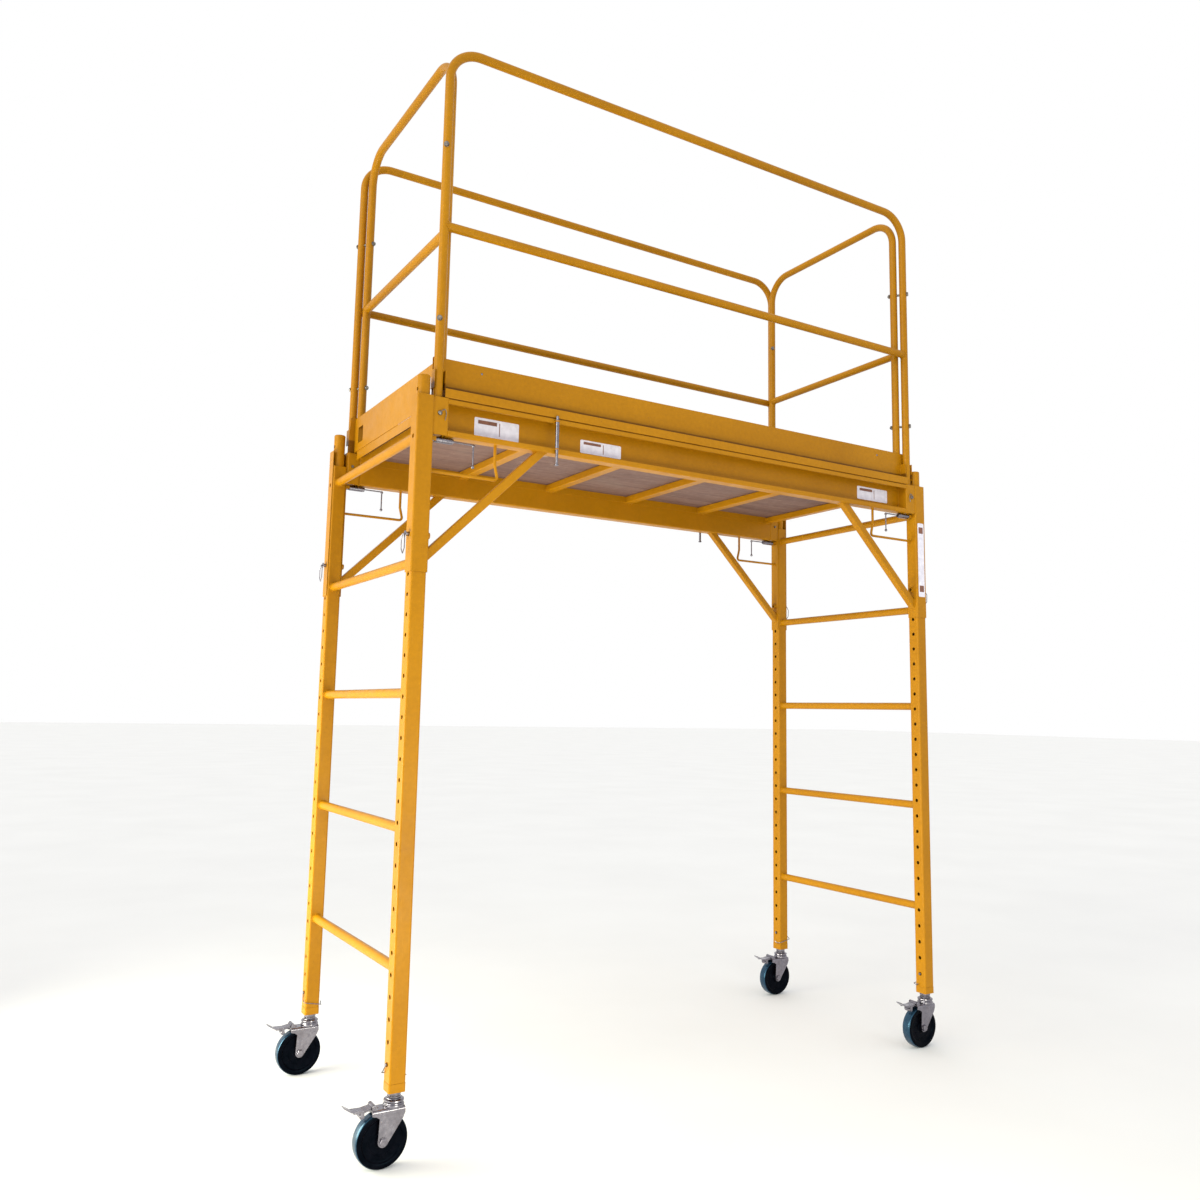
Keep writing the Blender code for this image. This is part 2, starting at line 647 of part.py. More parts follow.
def post_pin():
    """The headed pin through socket and post, with the clip through its outer end."""
    head, face = RAIL_OUT - 0.0065, RAIL_OUT - 2 * GAP
    shank = rod((POST_X, head + BITE, POST_PIN_HEIGHT), (POST_X, 0.024, POST_PIN_HEIGHT), BOLT_RADIUS, 8)
    cap = rod((POST_X, head, POST_PIN_HEIGHT), (POST_X, face, POST_PIN_HEIGHT), 0.006, 8)
    wire = [(POST_X + x, head + 0.0005, POST_PIN_HEIGHT + z)
            for x, z in ((0, 0.002), (0.012, 0.012), (0.016, 0.0), (0.013, -0.018))]
    return welded(shank, [cap], [tube_path(wire, BAIL_RADIUS, 0)])


def rail_bolt():
    """A bolt that joins the neighbouring posts of one corner, with its head and nut."""
    clear = TUBE_RADIUS + GAP
    start, end = bolt_line(BOLT_HEIGHT, clear + 0.005, clear + 0.006)
    along = (end - start).normalized()
    head = rod(start - along * 0.0005, start + along * 0.005, 0.0075, 6)
    nut = rod(end - along * 0.006, end - along * 0.0005, 0.0070, 6)
    return welded(rod(start, end, BOLT_RADIUS, 6), [head, nut])


def build_platform(parent):
    for flank in (-1, 1):
        name = FLANK_NAMES[flank]
        node(f"side_frame_{name}", side_frame(flank), "amber_paint", parent)
        node(f"toe_board_{name}", long_toe_board(flank), "amber_paint", parent)
        node(f"guard_rail_{name}", long_guard_rail(flank), "amber_paint", parent)
    for side in (-1, 1):
        name = SIDE_NAMES[side]
        node(f"toe_board_{name}", end_toe_board(side), "amber_paint", parent)
        node(f"guard_rail_{name}", end_guard_rail(side), "amber_paint", parent)
    node("deck_tray", deck_tray(), "amber_paint", parent)
    node("deck_panel", deck_panel(), "plywood", parent)
    for side, flank in CORNERS:
        place = f"{SIDE_NAMES[side]}_{FLANK_NAMES[flank]}"
        node(f"post_pin_{place}", at_corner(post_pin(), side, flank), "dark_steel", parent)
        node(f"rail_bolt_{place}", at_corner(rail_bolt(), side, flank), "dark_steel", parent)


# Locks


def plunger():
    """A spring pin: its tip in the sleeve's hole, a thin tail through the barrel and a bent handle."""
    tip = rod((UPRIGHT_HALF + GAP, 0, LOCK_HEIGHT), (0.060, 0, LOCK_HEIGHT), 0.0054, 10)
    tail = bent([(0.058, 0, LOCK_HEIGHT), (HANDLE_X, 0, LOCK_HEIGHT), (HANDLE_X, 0, HANDLE_LOW)], 0.008, 2)
    knob = rod((HANDLE_X, 0, HANDLE_LOW - 0.008), (HANDLE_X, 0, HANDLE_LOW + BITE), 0.0042, 8)
    return welded(tip, [tube_path(tail, 0.0026, 1)], [knob])


def height_pin():
    """A plain pin with a head and a wire bail that hangs down the sleeve's outer face."""
    shank = rod((-0.0330, 0, PIN_HEIGHT), (-UPRIGHT_HALF - GAP, 0, PIN_HEIGHT), 0.0054, 10)
    head = rod((PIN_HEAD, 0, PIN_HEIGHT), (-0.0320, 0, PIN_HEIGHT), 0.0080, 10)
    loop = [(-0.0033, 0.000), (-0.012, -0.014), (-0.011, -0.038), (0, -0.051),
            (0.011, -0.038), (0.012, -0.014), (0.0033, 0.000)]
    path = [(BAIL_OUT, y, PIN_HEIGHT + z) for y, z in loop]
    path = [(PIN_HEAD + BITE, -0.0030, PIN_HEIGHT)] + path + [(PIN_HEAD + BITE, 0.0030, PIN_HEIGHT)]
    return welded(shank, [head], [tube_path(path, BAIL_RADIUS, 0)])


def deck_lock():
    """A deck lock's rod, its tip above the barrel and a pull knob below."""
    x, y = DECK_LOCK_X, DECK_LOCK_Y
    stem = rod((x, y, 1.728), (x, y, 1.864), 0.004, 8)
    return welded(stem, [rod((x, y, 1.724), (x, y, 1.730), 0.006, 8)])


def build_locks(parent):
    for side, flank in CORNERS:
        place = f"{SIDE_NAMES[side]}_{FLANK_NAMES[flank]}"
        shapes = {"lock_plunger": (plunger(), LOCK_HEIGHT), "height_pin": (height_pin(), PIN_HEIGHT)}
        for name, (mesh, height) in shapes.items():
            origin = (side * HALF_X, flank * HALF_Y, height)
            node(f"{name}_{place}", at_corner(mesh, side, flank), "zinc", parent, origin)
    for flank in (-1, 1):
        origin = corner_matrix(flank, flank) @ Vector((DECK_LOCK_X, DECK_LOCK_Y, 1.80))
        node(f"deck_lock_{FLANK_NAMES[flank]}", at_corner(deck_lock(), flank, flank), "zinc", parent, origin)


# Casters, measured from the swivel axis on the floor, trailing towards -X


def fork_body():
    """A pressed fork: a channel trimmed to the side view of its legs."""
    half, sheet, top = FORK_HALF, FORK_SHEET, FORK_TOP
    inner = half - sheet
    channel = extruded([[(-half, 0), (-half, top), (half, top), (half, 0),
                         (inner, 0), (inner, top - sheet), (-inner, top - sheet), (-inner, 0)]],
                       "YZ", -0.058, 0.022)
    axle = (-CASTER_TRAIL, WHEEL_RADIUS)
    side_view = [(0.03, 0.16), (-0.07, 0.16), (-0.07, 0.121), (-0.036, 0.119)]
    side_view += arc(axle, 0.0125, 175, 335, 4) + [(0.0205, 0.118), (0.03, 0.118)]
    fork = boolean(channel, [extruded([side_view], "XZ", -0.03, 0.03)], "INTERSECT")
    return boolean(fork, [drill((axle[0], -0.03, axle[1]), (axle[0], 0.03, axle[1]), 0.0064)])


def caster_fork():
    """The fork with its ball race, and the ears and pin that carry the brake pedal."""
    race = rod((0, 0, FORK_TOP - BITE), (0, 0, STEM_FLANGE_BOTTOM - GAP), 0.0250, 12, 0.0205)
    px, pz = PEDAL_PIVOT_X, PEDAL_PIVOT_Z
    ears = [box((px - 0.005, y - 0.001, FORK_TOP - BITE), (px + 0.008, y + 0.001, pz + 0.005))
            for y in (-0.0165, 0.0165)]
    pin = rod((px, -0.0165, pz), (px, 0.0165, pz), 0.0025, 8)
    return welded(fork_body(), [race] + ears, [pin])


def axle_bolt():
    x, z = -CASTER_TRAIL, WHEEL_RADIUS
    face = FORK_HALF + GAP
    shank = rod((x, -face - 0.004, z), (x, face + 0.008, z), 0.006, 6)
    head = rod((x, -face - 0.0055, z), (x, -face, z), 0.010, 6)
    nut = rod((x, face, z), (x, face + 0.006, z), 0.010, 6)
    return welded(shank, [head, nut])


def caster_wheel():
    """A moulded wheel with a raised hub and rim. A flat of its rim stands on the floor."""
    stretch = 1 / cos(pi / WHEEL_SIDES)
    half = [(0.0530, WHEEL_HALF), (0.0470, 0.011), (0.0180, 0.011), (0.0150, 0.0175), (WHEEL_BORE, 0.0175)]
    upper = [(r * stretch, y) for r, y in reversed(half)] + [(WHEEL_RADIUS * stretch, 0.013)]
    lower = [(r, -y) for r, y in reversed(upper)]
    disc = turned(upper + lower, WHEEL_SIDES)
    disc.transform(Matrix.Rotation(pi / WHEEL_SIDES, 4, "Z"))
    disc.transform(Matrix.Translation((-CASTER_TRAIL, 0, WHEEL_RADIUS)) @ Matrix.Rotation(pi / 2, 4, "X"))
    return disc


def brake_pedal():
    """A bent lever on its pivot, with the roller that it presses on the tread."""
    px, pz = PEDAL_PIVOT_X, PEDAL_PIVOT_Z
    width = 0.0135
    knuckle = extruded([circle((px, pz), 0.0055, 8), circle((px, pz), 0.0029, 8)], "XZ", -width, width)
    top = [(px - 0.0042, pz + 0.001), (-0.078, 0.1375), (-0.104, 0.1385), (PEDAL_TIP, 0.150)]
    under = [(x, z - 0.0025) for x, z in reversed(top)]
    lever = extruded([top + under], "XZ", BITE / 2 - width, width - BITE / 2)
    rx, rz = -0.079, 0.1235
    roller = rod((rx, -0.012, rz), (rx, 0.012, rz), 0.006, 8)
    lugs = [box((rx - 0.004, y - 0.001, rz - 0.003), (rx + 0.004, y + 0.001, 0.1365))
            for y in (-0.0115, 0.0115)]
    return welded(knuckle, [lever], lugs, [roller])


def build_caster(side, flank, parent):
    place = f"{SIDE_NAMES[side]}_{FLANK_NAMES[flank]}"
    stem = Vector((side * HALF_X, flank * HALF_Y, 0))
    swivel = joint_empty(f"swivel_{place}", stem, parent)
    shift = Matrix.Translation(stem)
    axle = stem + Vector((-CASTER_TRAIL, 0, WHEEL_RADIUS))
    pivot = stem + Vector((PEDAL_PIVOT_X, 0, PEDAL_PIVOT_Z))
    node(f"caster_fork_{place}", moved(caster_fork(), shift), "zinc", swivel, stem)
    node(f"caster_axle_{place}", moved(axle_bolt(), shift), "zinc", swivel, axle)
    node(f"caster_wheel_{place}", moved(caster_wheel(), shift), "black_wheel", swivel, axle)
    node(f"caster_pedal_{place}", moved(brake_pedal(), shift), "zinc", swivel, pivot)


def build_scaffold():
    tower = joint_empty("scaffold", (0, 0, 0), None)
    platform = joint_empty("platform_slide", (0, 0, DECK_TOP), tower)
    frames = {-1: tower, 1: joint_empty("right_frame_slide", (HALF_X, 0, 0), tower)}
    for side, parent in frames.items():
        build_end_frame(side, parent)
    build_platform(platform)
    build_locks(platform)
    for side, flank in CORNERS:
        build_caster(side, flank, frames[side])
    tower.location.x = MIDDLE_X


clear_scene()
parts = bpy.data.collections.new("frame_scaffold")
bpy.context.scene.collection.children.link(parts)
materials = make_materials()
build_scaffold()
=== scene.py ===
"""Visual model of a rolling frame scaffold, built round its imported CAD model. Metres, +Z up."""
from math import cos, pi, radians, sin, tan
from random import Random

import bmesh
import bpy
from mathutils import Matrix, Vector


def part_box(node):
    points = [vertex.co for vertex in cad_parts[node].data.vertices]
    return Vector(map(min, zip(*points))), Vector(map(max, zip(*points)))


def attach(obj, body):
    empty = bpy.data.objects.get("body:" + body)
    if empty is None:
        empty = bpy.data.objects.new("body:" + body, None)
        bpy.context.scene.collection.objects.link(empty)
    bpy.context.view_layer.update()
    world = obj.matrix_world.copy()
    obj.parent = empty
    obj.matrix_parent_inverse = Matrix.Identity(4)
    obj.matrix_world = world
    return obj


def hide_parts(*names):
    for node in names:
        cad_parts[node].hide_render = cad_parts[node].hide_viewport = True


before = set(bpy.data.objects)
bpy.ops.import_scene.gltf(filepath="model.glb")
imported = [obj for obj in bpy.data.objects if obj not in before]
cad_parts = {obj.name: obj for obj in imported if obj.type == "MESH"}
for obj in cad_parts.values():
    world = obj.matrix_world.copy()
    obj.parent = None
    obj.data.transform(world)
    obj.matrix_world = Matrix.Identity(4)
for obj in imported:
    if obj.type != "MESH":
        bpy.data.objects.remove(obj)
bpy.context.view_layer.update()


SIDE_NAMES = {-1: "left", 1: "right"}
FLANK_NAMES = {-1: "near", 1: "far"}
CORNERS = {f"{SIDE_NAMES[s]}_{FLANK_NAMES[f]}": (s, f) for s in (-1, 1) for f in (-1, 1)}


def middle(node):
    low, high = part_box(node)
    return (Vector(low) + Vector(high)) / 2


CENTRES = {place: middle(f"coupling_stub_{place}") for place in CORNERS}
MIDDLE_X = (CENTRES["left_near"].x + CENTRES["right_near"].x) / 2
HALF_X = (CENTRES["right_near"].x - CENTRES["left_near"].x) / 2
HALF_Y = (CENTRES["left_far"].y - CENTRES["left_near"].y) / 2

# Sizes of the CAD model's parts
UPRIGHT_HALF, UPRIGHT_WALL, UPRIGHT_ROUND = 0.0206, 0.0025, 0.0055
FOOT_BOTTOM, FOOT_TOP, UPRIGHT_TOP = 0.166, 0.186, 1.811
HOLE_PITCH, FIRST_HOLE, HOLE_RADIUS, HOLE_COUNT = 0.0508, 0.2266, 0.00575, 31
RUNG_RADIUS, FIRST_RUNG, RUNG_PITCH, RUNG_COUNT = 0.0125, 0.4386, 0.3302, 5
LOCK_HEIGHT = FIRST_HOLE + 30 * HOLE_PITCH
PIN_HEIGHT = FIRST_HOLE + 25 * HOLE_PITCH
SLEEVE_HALF, SLEEVE_WALL, SLEEVE_EDGE = 0.023, 0.0021, 0.018
SLEEVE_BOTTOM, SLEEVE_TOP = 1.401, 1.859
RAIL_BOTTOM, RAIL_TOP, RAIL_OUT, RAIL_IN = 1.7592, 1.8582, -0.0206, 0.0194
RAIL_WALL, RAIL_LIP = 0.0025, 0.014
SOCKET_START, SOCKET_END, SOCKET_X, POST_X, POST_PIN_HEIGHT = 0.0233, 0.0633, 0.0433, 0.039, 1.8155
END_POST_X, END_POST_Y = 0.057, 0.0275
DECK_TOP, PLY_THICK, PLY_END, PLY_EDGE = 1.861, 0.013, 0.0455, 0.0222
NOTCH_END, NOTCH_EDGE = 0.071, 0.0412
TRAY_END, TRAY_LIP_TOP, TRAY_SHEET, TRAY_LEG, TRAY_LEG_BOTTOM = 0.0525, 1.884, 0.002, 0.0197, 1.826
STRIP_SHEET, STRIP_BOTTOM, STRIP_TOP = 0.0014, 1.833, 1.8608
BAR_TOP, BAR_HEIGHT, BAR_WIDTH, BAR_PITCH = 1.8477, 0.023, 0.032, 0.33
END_BAR_X, END_BAR_WIDTH = 0.0769, 0.025
BOARD_SHEET, BOARD_BOTTOM, BOARD_TOP = 0.0015, 1.8613, 1.975
LONG_BOARD_Y, LONG_BOARD_END, INNER_TAB = 0.013, 0.0238, 0.0545
END_BOARD_X, END_BOARD_END, END_BOARD_TOP = 0.0425, 0.0163, 1.969
TAB_BOTTOM, TAB_TOP, TAB_REACH = 1.885, 1.935, 0.025
WINDOW_START, WINDOW_END = 0.05, 0.095
TUBE_RADIUS, TOP_RAIL, MID_RAIL, RAIL_BEND = 0.0125, 2.843, 2.332, 0.09
LONG_POST_FOOT, END_POST_FOOT = 1.762, 1.8617
BOLT_HEIGHTS = {"upper": 2.555, "lower": 2.072}
BRACE_HALF, BRACE_LOW, BRACE_FAR = 0.0115, 1.445, 0.3414
GUARD_RADIUS, GUARD_FAR, GUARD_LOW = 0.004, 0.2074, 1.666
BARREL_RADIUS, BARREL_BORE, BARREL_START, BARREL_END = 0.0083, 0.0058, 0.0344, 0.0864
HANDLE_X, HANDLE_LOW, KNOB_RADIUS = 0.1444, 1.695, 0.0046
DECK_LOCK_X, DECK_LOCK_Y = 0.379, -0.0285
AXLE_X, AXLE_Z, WHEEL_RADIUS, TREAD_SLOPE = -0.03, 0.0635, 0.0635, 0.8
FORK_HALF, FORK_SHEET, FORK_TOP = 0.0215, 0.003, 0.1345
PEDAL_X, PEDAL_Z, PEDAL_TIP = -0.052, 0.1405, -0.123
GAP = 0.0003
DRILL_REACH = 0.03
BOARD_SLOT_SHADE = (1.8, 1.9005, 0.004)      # painted shade on the toe board's foot, in the slot behind the tray's lip: from, to, and how soft the edge is
SEAM_SHADE = (1.85, 1.8603, 0.0015)    # painted shade in the seam between the tray and the rail
ROUND = 24                   # sides of a round bar or hole of 10 mm and more
FINE = 12                    # sides of a wire

# Shapes: each function returns a mesh


def mesh_of(bm):
    mesh = bpy.data.meshes.new("shape")
    bm.to_mesh(mesh)
    bm.free()
    return mesh


def combined(shapes):
    bm = bmesh.new()
    for shape in shapes:
        bm.from_mesh(shape)
    return mesh_of(bm)


def moved(mesh, matrix):
    """A copy moved by a matrix, its faces turned back out if the matrix mirrors."""
    copy = mesh.copy()
    copy.transform(matrix)
    if matrix.determinant() < 0:
        copy.flip_normals()
    return copy


def item_of(data):
    item = bpy.data.objects.new("working", data)
    bpy.context.scene.collection.objects.link(item)
    return item


def baked(item):
    """The item's mesh with its modifiers, after which the item is removed."""
    bpy.context.view_layer.update()
    graph = bpy.context.evaluated_depsgraph_get()
    mesh = bpy.data.meshes.new_from_object(item.evaluated_get(graph))
    mesh.transform(item.matrix_world)
    bpy.data.objects.remove(item, do_unlink=True)
    return mesh


PLANES = {
    "XY": (Matrix.Identity(4), Vector((0, 0, 1))),
    "YZ": (Matrix(((0, 0, 1, 0), (1, 0, 0, 0), (0, 1, 0, 0), (0, 0, 0, 1))), Vector((1, 0, 0))),
    "XZ": (Matrix(((1, 0, 0, 0), (0, 0, -1, 0), (0, 1, 0, 0), (0, 0, 0, 1))), Vector((0, 1, 0))),
}


def extruded(outlines, plane, low, high):
    """Flat outlines in a plane, holes included, extruded between two places on its normal."""
    curve = bpy.data.curves.new("outline", "CURVE")
    curve.dimensions = "2D"
    curve.fill_mode = "BOTH"
    curve.extrude = (high - low) / 2
    for outline in outlines:
        spline = curve.splines.new("POLY")
        spline.points.add(len(outline) - 1)
        for point, (a, b) in zip(spline.points, outline):
            point.co = (a, b, 0, 1)
        spline.use_cyclic_u = True
    item = item_of(curve)
    turn, normal = PLANES[plane]
    item.matrix_world = Matrix.Translation(normal * (low + high) / 2) @ turn
    mesh = baked(item)
    bm = bmesh.new()
    bm.from_mesh(mesh)
    bmesh.ops.remove_doubles(bm, verts=bm.verts, dist=1e-6)
    bmesh.ops.recalc_face_normals(bm, faces=bm.faces)
    return mesh_of(bm)


def cut(body, tools, operation="DIFFERENCE"):
    item, cutter = item_of(body), item_of(combined(tools))
    modifier = item.modifiers.new("cut", "BOOLEAN")
    modifier.object = cutter
    modifier.operation = operation
    modifier.solver = "EXACT"
    mesh = baked(item)
    bpy.data.objects.remove(cutter, do_unlink=True)
    return mesh


def eased(mesh, width, segments=2):
    """The mesh with its sharp edges rounded."""
    item = item_of(mesh)
    modifier = item.modifiers.new("ease", "BEVEL")
    modifier.width = width
    modifier.segments = segments
    modifier.limit_method = "ANGLE"
    modifier.angle_limit = radians(40)
    return baked(item)


def lathe(profile, sides=ROUND, matrix=Matrix.Identity(4), closed=False):
    """(radius, height) points turned round Z. A closed profile's last point joins its first."""
    bm = bmesh.new()
    rings = []
    for radius, height in profile:
        if radius == 0:
            rings.append([bm.verts.new((0, 0, height))] * sides)
        else:
            rings.append([bm.verts.new((radius * cos(2 * pi * i / sides),
                                        radius * sin(2 * pi * i / sides), height))
                          for i in range(sides)])
    pairs = list(zip(rings, rings[1:])) + ([(rings[-1], rings[0])] if closed else [])
    for lower, upper in pairs:
        for i in range(sides):
            j = (i + 1) % sides
            corners = list(dict.fromkeys((lower[i], lower[j], upper[j], upper[i])))
            if len(corners) > 2:
                bm.faces.new(corners)
    bmesh.ops.recalc_face_normals(bm, faces=bm.faces)
    bm.transform(matrix)
    return mesh_of(bm)


def facing(origin, direction):
    """Z turned to a direction, at an origin."""
    return Matrix.Translation(origin) @ Vector(direction).to_track_quat("Z", "Y").to_matrix().to_4x4()


def pin(start, end, radius, sides=ROUND, ease=0.0006):
    """A round bar with eased ends."""
    start, end = Vector(start), Vector(end)
    length = (end - start).length
    profile = [(0, 0), (radius - ease, 0), (radius, ease), (radius, length - ease),
               (radius - ease, length), (0, length)]
    return lathe(profile, sides, facing(start, end - start))


def drill(origin, direction, radius, sides):
    """A rod through the origin, to cut a hole with."""
    profile = [(0, -DRILL_REACH), (radius, -DRILL_REACH), (radius, DRILL_REACH), (0, DRILL_REACH)]
    return lathe(profile, sides, facing(origin, direction))


def sweep(path, radius, sides=FINE, cyclic=False):
    """A round bar along a path. The radius is one number, or one for each point."""
    points = [Vector(p) for p in path]
    count = len(points)
    radii = radius if isinstance(radius, list) else [radius] * count
    bm = bmesh.new()
    rings, normal = [], None
    for i, point in enumerate(points):
        before = points[i - 1] if cyclic or i else point
        after = points[(i + 1) % count] if cyclic or i < count - 1 else point
        along = (after - before).normalized()
        normal = along.orthogonal() if normal is None else normal
        normal = (normal - along * normal.dot(along)).normalized()
        side = along.cross(normal)
        rings.append([bm.verts.new(point
                                   + (normal * cos(2 * pi * k / sides)
                                      + side * sin(2 * pi * k / sides)) * radii[i])
                      for k in range(sides)])
    for lower, upper in list(zip(rings, rings[1:])) + ([(rings[-1], rings[0])] if cyclic else []):
        for k in range(sides):
            j = (k + 1) % sides
            bm.faces.new((lower[k], lower[j], upper[j], upper[k]))
    if not cyclic:
        bm.faces.new(rings[0])
        bm.faces.new(rings[-1])
    bmesh.ops.recalc_face_normals(bm, faces=bm.faces)
    return mesh_of(bm)


def bent(points, radius, steps=6):
    """A path through points with each inner corner rounded."""
    points = [Vector(p) for p in points]
    path = [points[0]]
    for before, corner, after in zip(points, points[1:], points[2:]):
        back, ahead = (before - corner).normalized(), (after - corner).normalized()
        half_angle = back.angle(ahead) / 2
        start = corner + back * (radius / tan(half_angle))
        centre = corner + (back + ahead).normalized() * (radius / sin(half_angle))
        axis = back.cross(ahead)
        sweep_angle = pi - 2 * half_angle
        for i in range(steps + 1):
            turn = Matrix.Rotation(-sweep_angle * i / steps, 3, axis)
            path.append(centre + turn @ (start - centre))
    return path + [points[-1]]


def wire(points, radius, bend, sides=FINE):
    """A bent wire with rounded ends."""
    path = bent(points, bend)
    first = (path[0] - path[1]).normalized() * radius
    last = (path[-1] - path[-2]).normalized() * radius
    path = [path[0] + first * 0.55, path[0] + first * 0.3] + path + [path[-1] + last * 0.3,
                                                                     path[-1] + last * 0.55]
    radii = [radius * 0.45, radius * 0.85] + [radius] * (len(path) - 4) + [radius * 0.85, radius * 0.45]
    return sweep(path, radii, sides)


def along(path, step, cyclic=False):
    """A path's points at an even step."""
    points = [Vector(p) for p in path]
    if cyclic:
        points.append(points[0])
    lengths = [(b - a).length for a, b in zip(points, points[1:])]
    count = max(3, round(sum(lengths) / step))
    result, leg, done = [], 0, 0.0
    for i in range(count if cyclic else count + 1):
        want = sum(lengths) * i / count
        while leg < len(lengths) - 1 and done + lengths[leg] < want:
            done += lengths[leg]
            leg += 1
        share = min(1.0, (want - done) / lengths[leg])
        result.append(points[leg].lerp(points[leg + 1], share))
    return result


def bead(path, size, seed, cyclic=False):
    """A rippled weld bead along a path."""
    draw = Random(seed)
    points = along(path, 0.0011, cyclic)
    radii = [size * (0.82 + 0.22 * abs(sin(i * 0.9)) + draw.uniform(-0.06, 0.08))
             for i in range(len(points))]
    if not cyclic:
        radii[0] = radii[-1] = size * 0.35
    return sweep(points, radii, 8, cyclic)


# Outlines


def arc(centre, radius, start, end, steps):
    angles = [radians(start + (end - start) * i / steps) for i in range(steps + 1)]
    return [(centre[0] + radius * cos(a), centre[1] + radius * sin(a)) for a in angles]


def circle(centre, radius, sides=ROUND):
    return arc(centre, radius, 0, 360 - 360 / sides, sides - 1)


def rounded(half_a, half_b, radius, centre=(0, 0), steps=5):
    """A rectangle with rounded corners."""
    points = []
    for start, (a, b) in zip((0, 90, 180, 270), ((1, 1), (-1, 1), (-1, -1), (1, -1))):
        place = (centre[0] + a * (half_a - radius), centre[1] + b * (half_b - radius))
        points += arc(place, radius, start, start + 90, steps)
    return points


def sheet(points, thickness, radius, steps=5):
    """The outline of a bent sheet, from its middle line."""
    path = bent([(a, b, 0) for a, b in points], radius, steps)
    left, right = [], []
    for i, point in enumerate(path):
        run = (path[min(i + 1, len(path) - 1)] - path[max(i - 1, 0)]).normalized()
        offset = Vector((-run.y, run.x, 0)) * thickness / 2
        left.append((point + offset)[:2])
        right.append((point - offset)[:2])
    return left + right[::-1]


def hexagon(origin, direction, width, height):
    """A bolt's head or nut, chamfered, on its origin."""
    radius = width / 3 ** 0.5
    profile = [(0, 0), (radius * 0.93, 0), (radius, 0.0007), (radius, height - 0.0009),
               (radius * 0.9, height), (0, height)]
    return lathe(profile, 6, facing(origin, direction))


def washer(origin, direction, radius, bore=0.004, height=0.001):
    profile = [(bore, 0), (radius - 0.0003, 0), (radius, 0.0003), (radius, height - 0.0003),
               (radius - 0.0003, height), (bore, height)]
    return lathe(profile, ROUND, facing(origin, direction), closed=True)


def threaded(start, end, radius, pitch=0.0013):
    """A bar with threads, drawn as close rings."""
    start, end = Vector(start), Vector(end)
    length = (end - start).length
    profile = [(0, 0), (radius * 0.86, 0)]
    height = 0.0004
    while height + pitch < length:
        profile += [(radius * 0.88, height), (radius, height + pitch * 0.5)]
        height += pitch
    profile += [(radius * 0.86, length), (0, length)]
    return lathe(profile, ROUND, facing(start, end - start))


# Materials


class Finish:
    """A material under construction: short names for the nodes it is made of."""

    def __init__(self, name, roughness, metallic=0.0):
        self.material = bpy.data.materials.new(name)
        self.material.use_nodes = True
        self.tree = self.material.node_tree
        self.shader = self.tree.nodes["Principled BSDF"]
        self.shader.inputs["Roughness"].default_value = roughness
        self.shader.inputs["Metallic"].default_value = metallic
        self.position = self.tree.nodes.new("ShaderNodeTexCoord").outputs["Object"]

    def set(self, node, **values):
        for name, value in values.items():
            socket = node.inputs[name.replace("_", " ")]
            if isinstance(value, bpy.types.NodeSocket):
                self.tree.links.new(value, socket)
            else:
                socket.default_value = value

    def scaled(self, scale):
        mapping = self.tree.nodes.new("ShaderNodeMapping")
        self.set(mapping, Vector=self.position, Scale=scale)
        return mapping.outputs["Vector"]

    def noise(self, scale, detail=3.0, roughness=0.55, vector=None, distortion=0.0):
        texture = self.tree.nodes.new("ShaderNodeTexNoise")
        self.set(texture, Vector=vector or self.position, Scale=scale, Detail=detail,
                 Roughness=roughness, Distortion=distortion)
        return texture.outputs["Fac"]

    def ramp(self, value, *stops):
        ramp = self.tree.nodes.new("ShaderNodeValToRGB")
        elements = ramp.color_ramp.elements
        while len(elements) < len(stops):
            elements.new(0.5)
        for element, (place, colour) in zip(elements, stops):
            element.position = place
            element.color = (*colour, 1) if isinstance(colour, tuple) else (colour, colour, colour, 1)
        self.set(ramp, Fac=value)
        return ramp.outputs["Color"]

    def mix(self, factor, first, second, blend="MIX"):
        mix = self.tree.nodes.new("ShaderNodeMixRGB")
        mix.blend_type = blend
        values = [v if isinstance(v, bpy.types.NodeSocket) else (*v, 1) for v in (first, second)]
        self.set(mix, Fac=factor, Color1=values[0], Color2=values[1])
        return mix.outputs["Color"]

    def math(self, operation, first, second=0.0):
        node = self.tree.nodes.new("ShaderNodeMath")
        node.operation = operation
        for socket, value in zip(node.inputs, (first, second)):
            if isinstance(value, bpy.types.NodeSocket):
                self.tree.links.new(value, socket)
            else:
                socket.default_value = value
        return node.outputs[0]

    def bump(self, height, strength, distance, normal=None):
        node = self.tree.nodes.new("ShaderNodeBump")
        self.set(node, Height=height, Strength=strength, Distance=distance)
        if normal:
            self.set(node, Normal=normal)
        return node.outputs["Normal"]

    def done(self, **sockets):
        self.set(self.shader, **sockets)
        return self.material


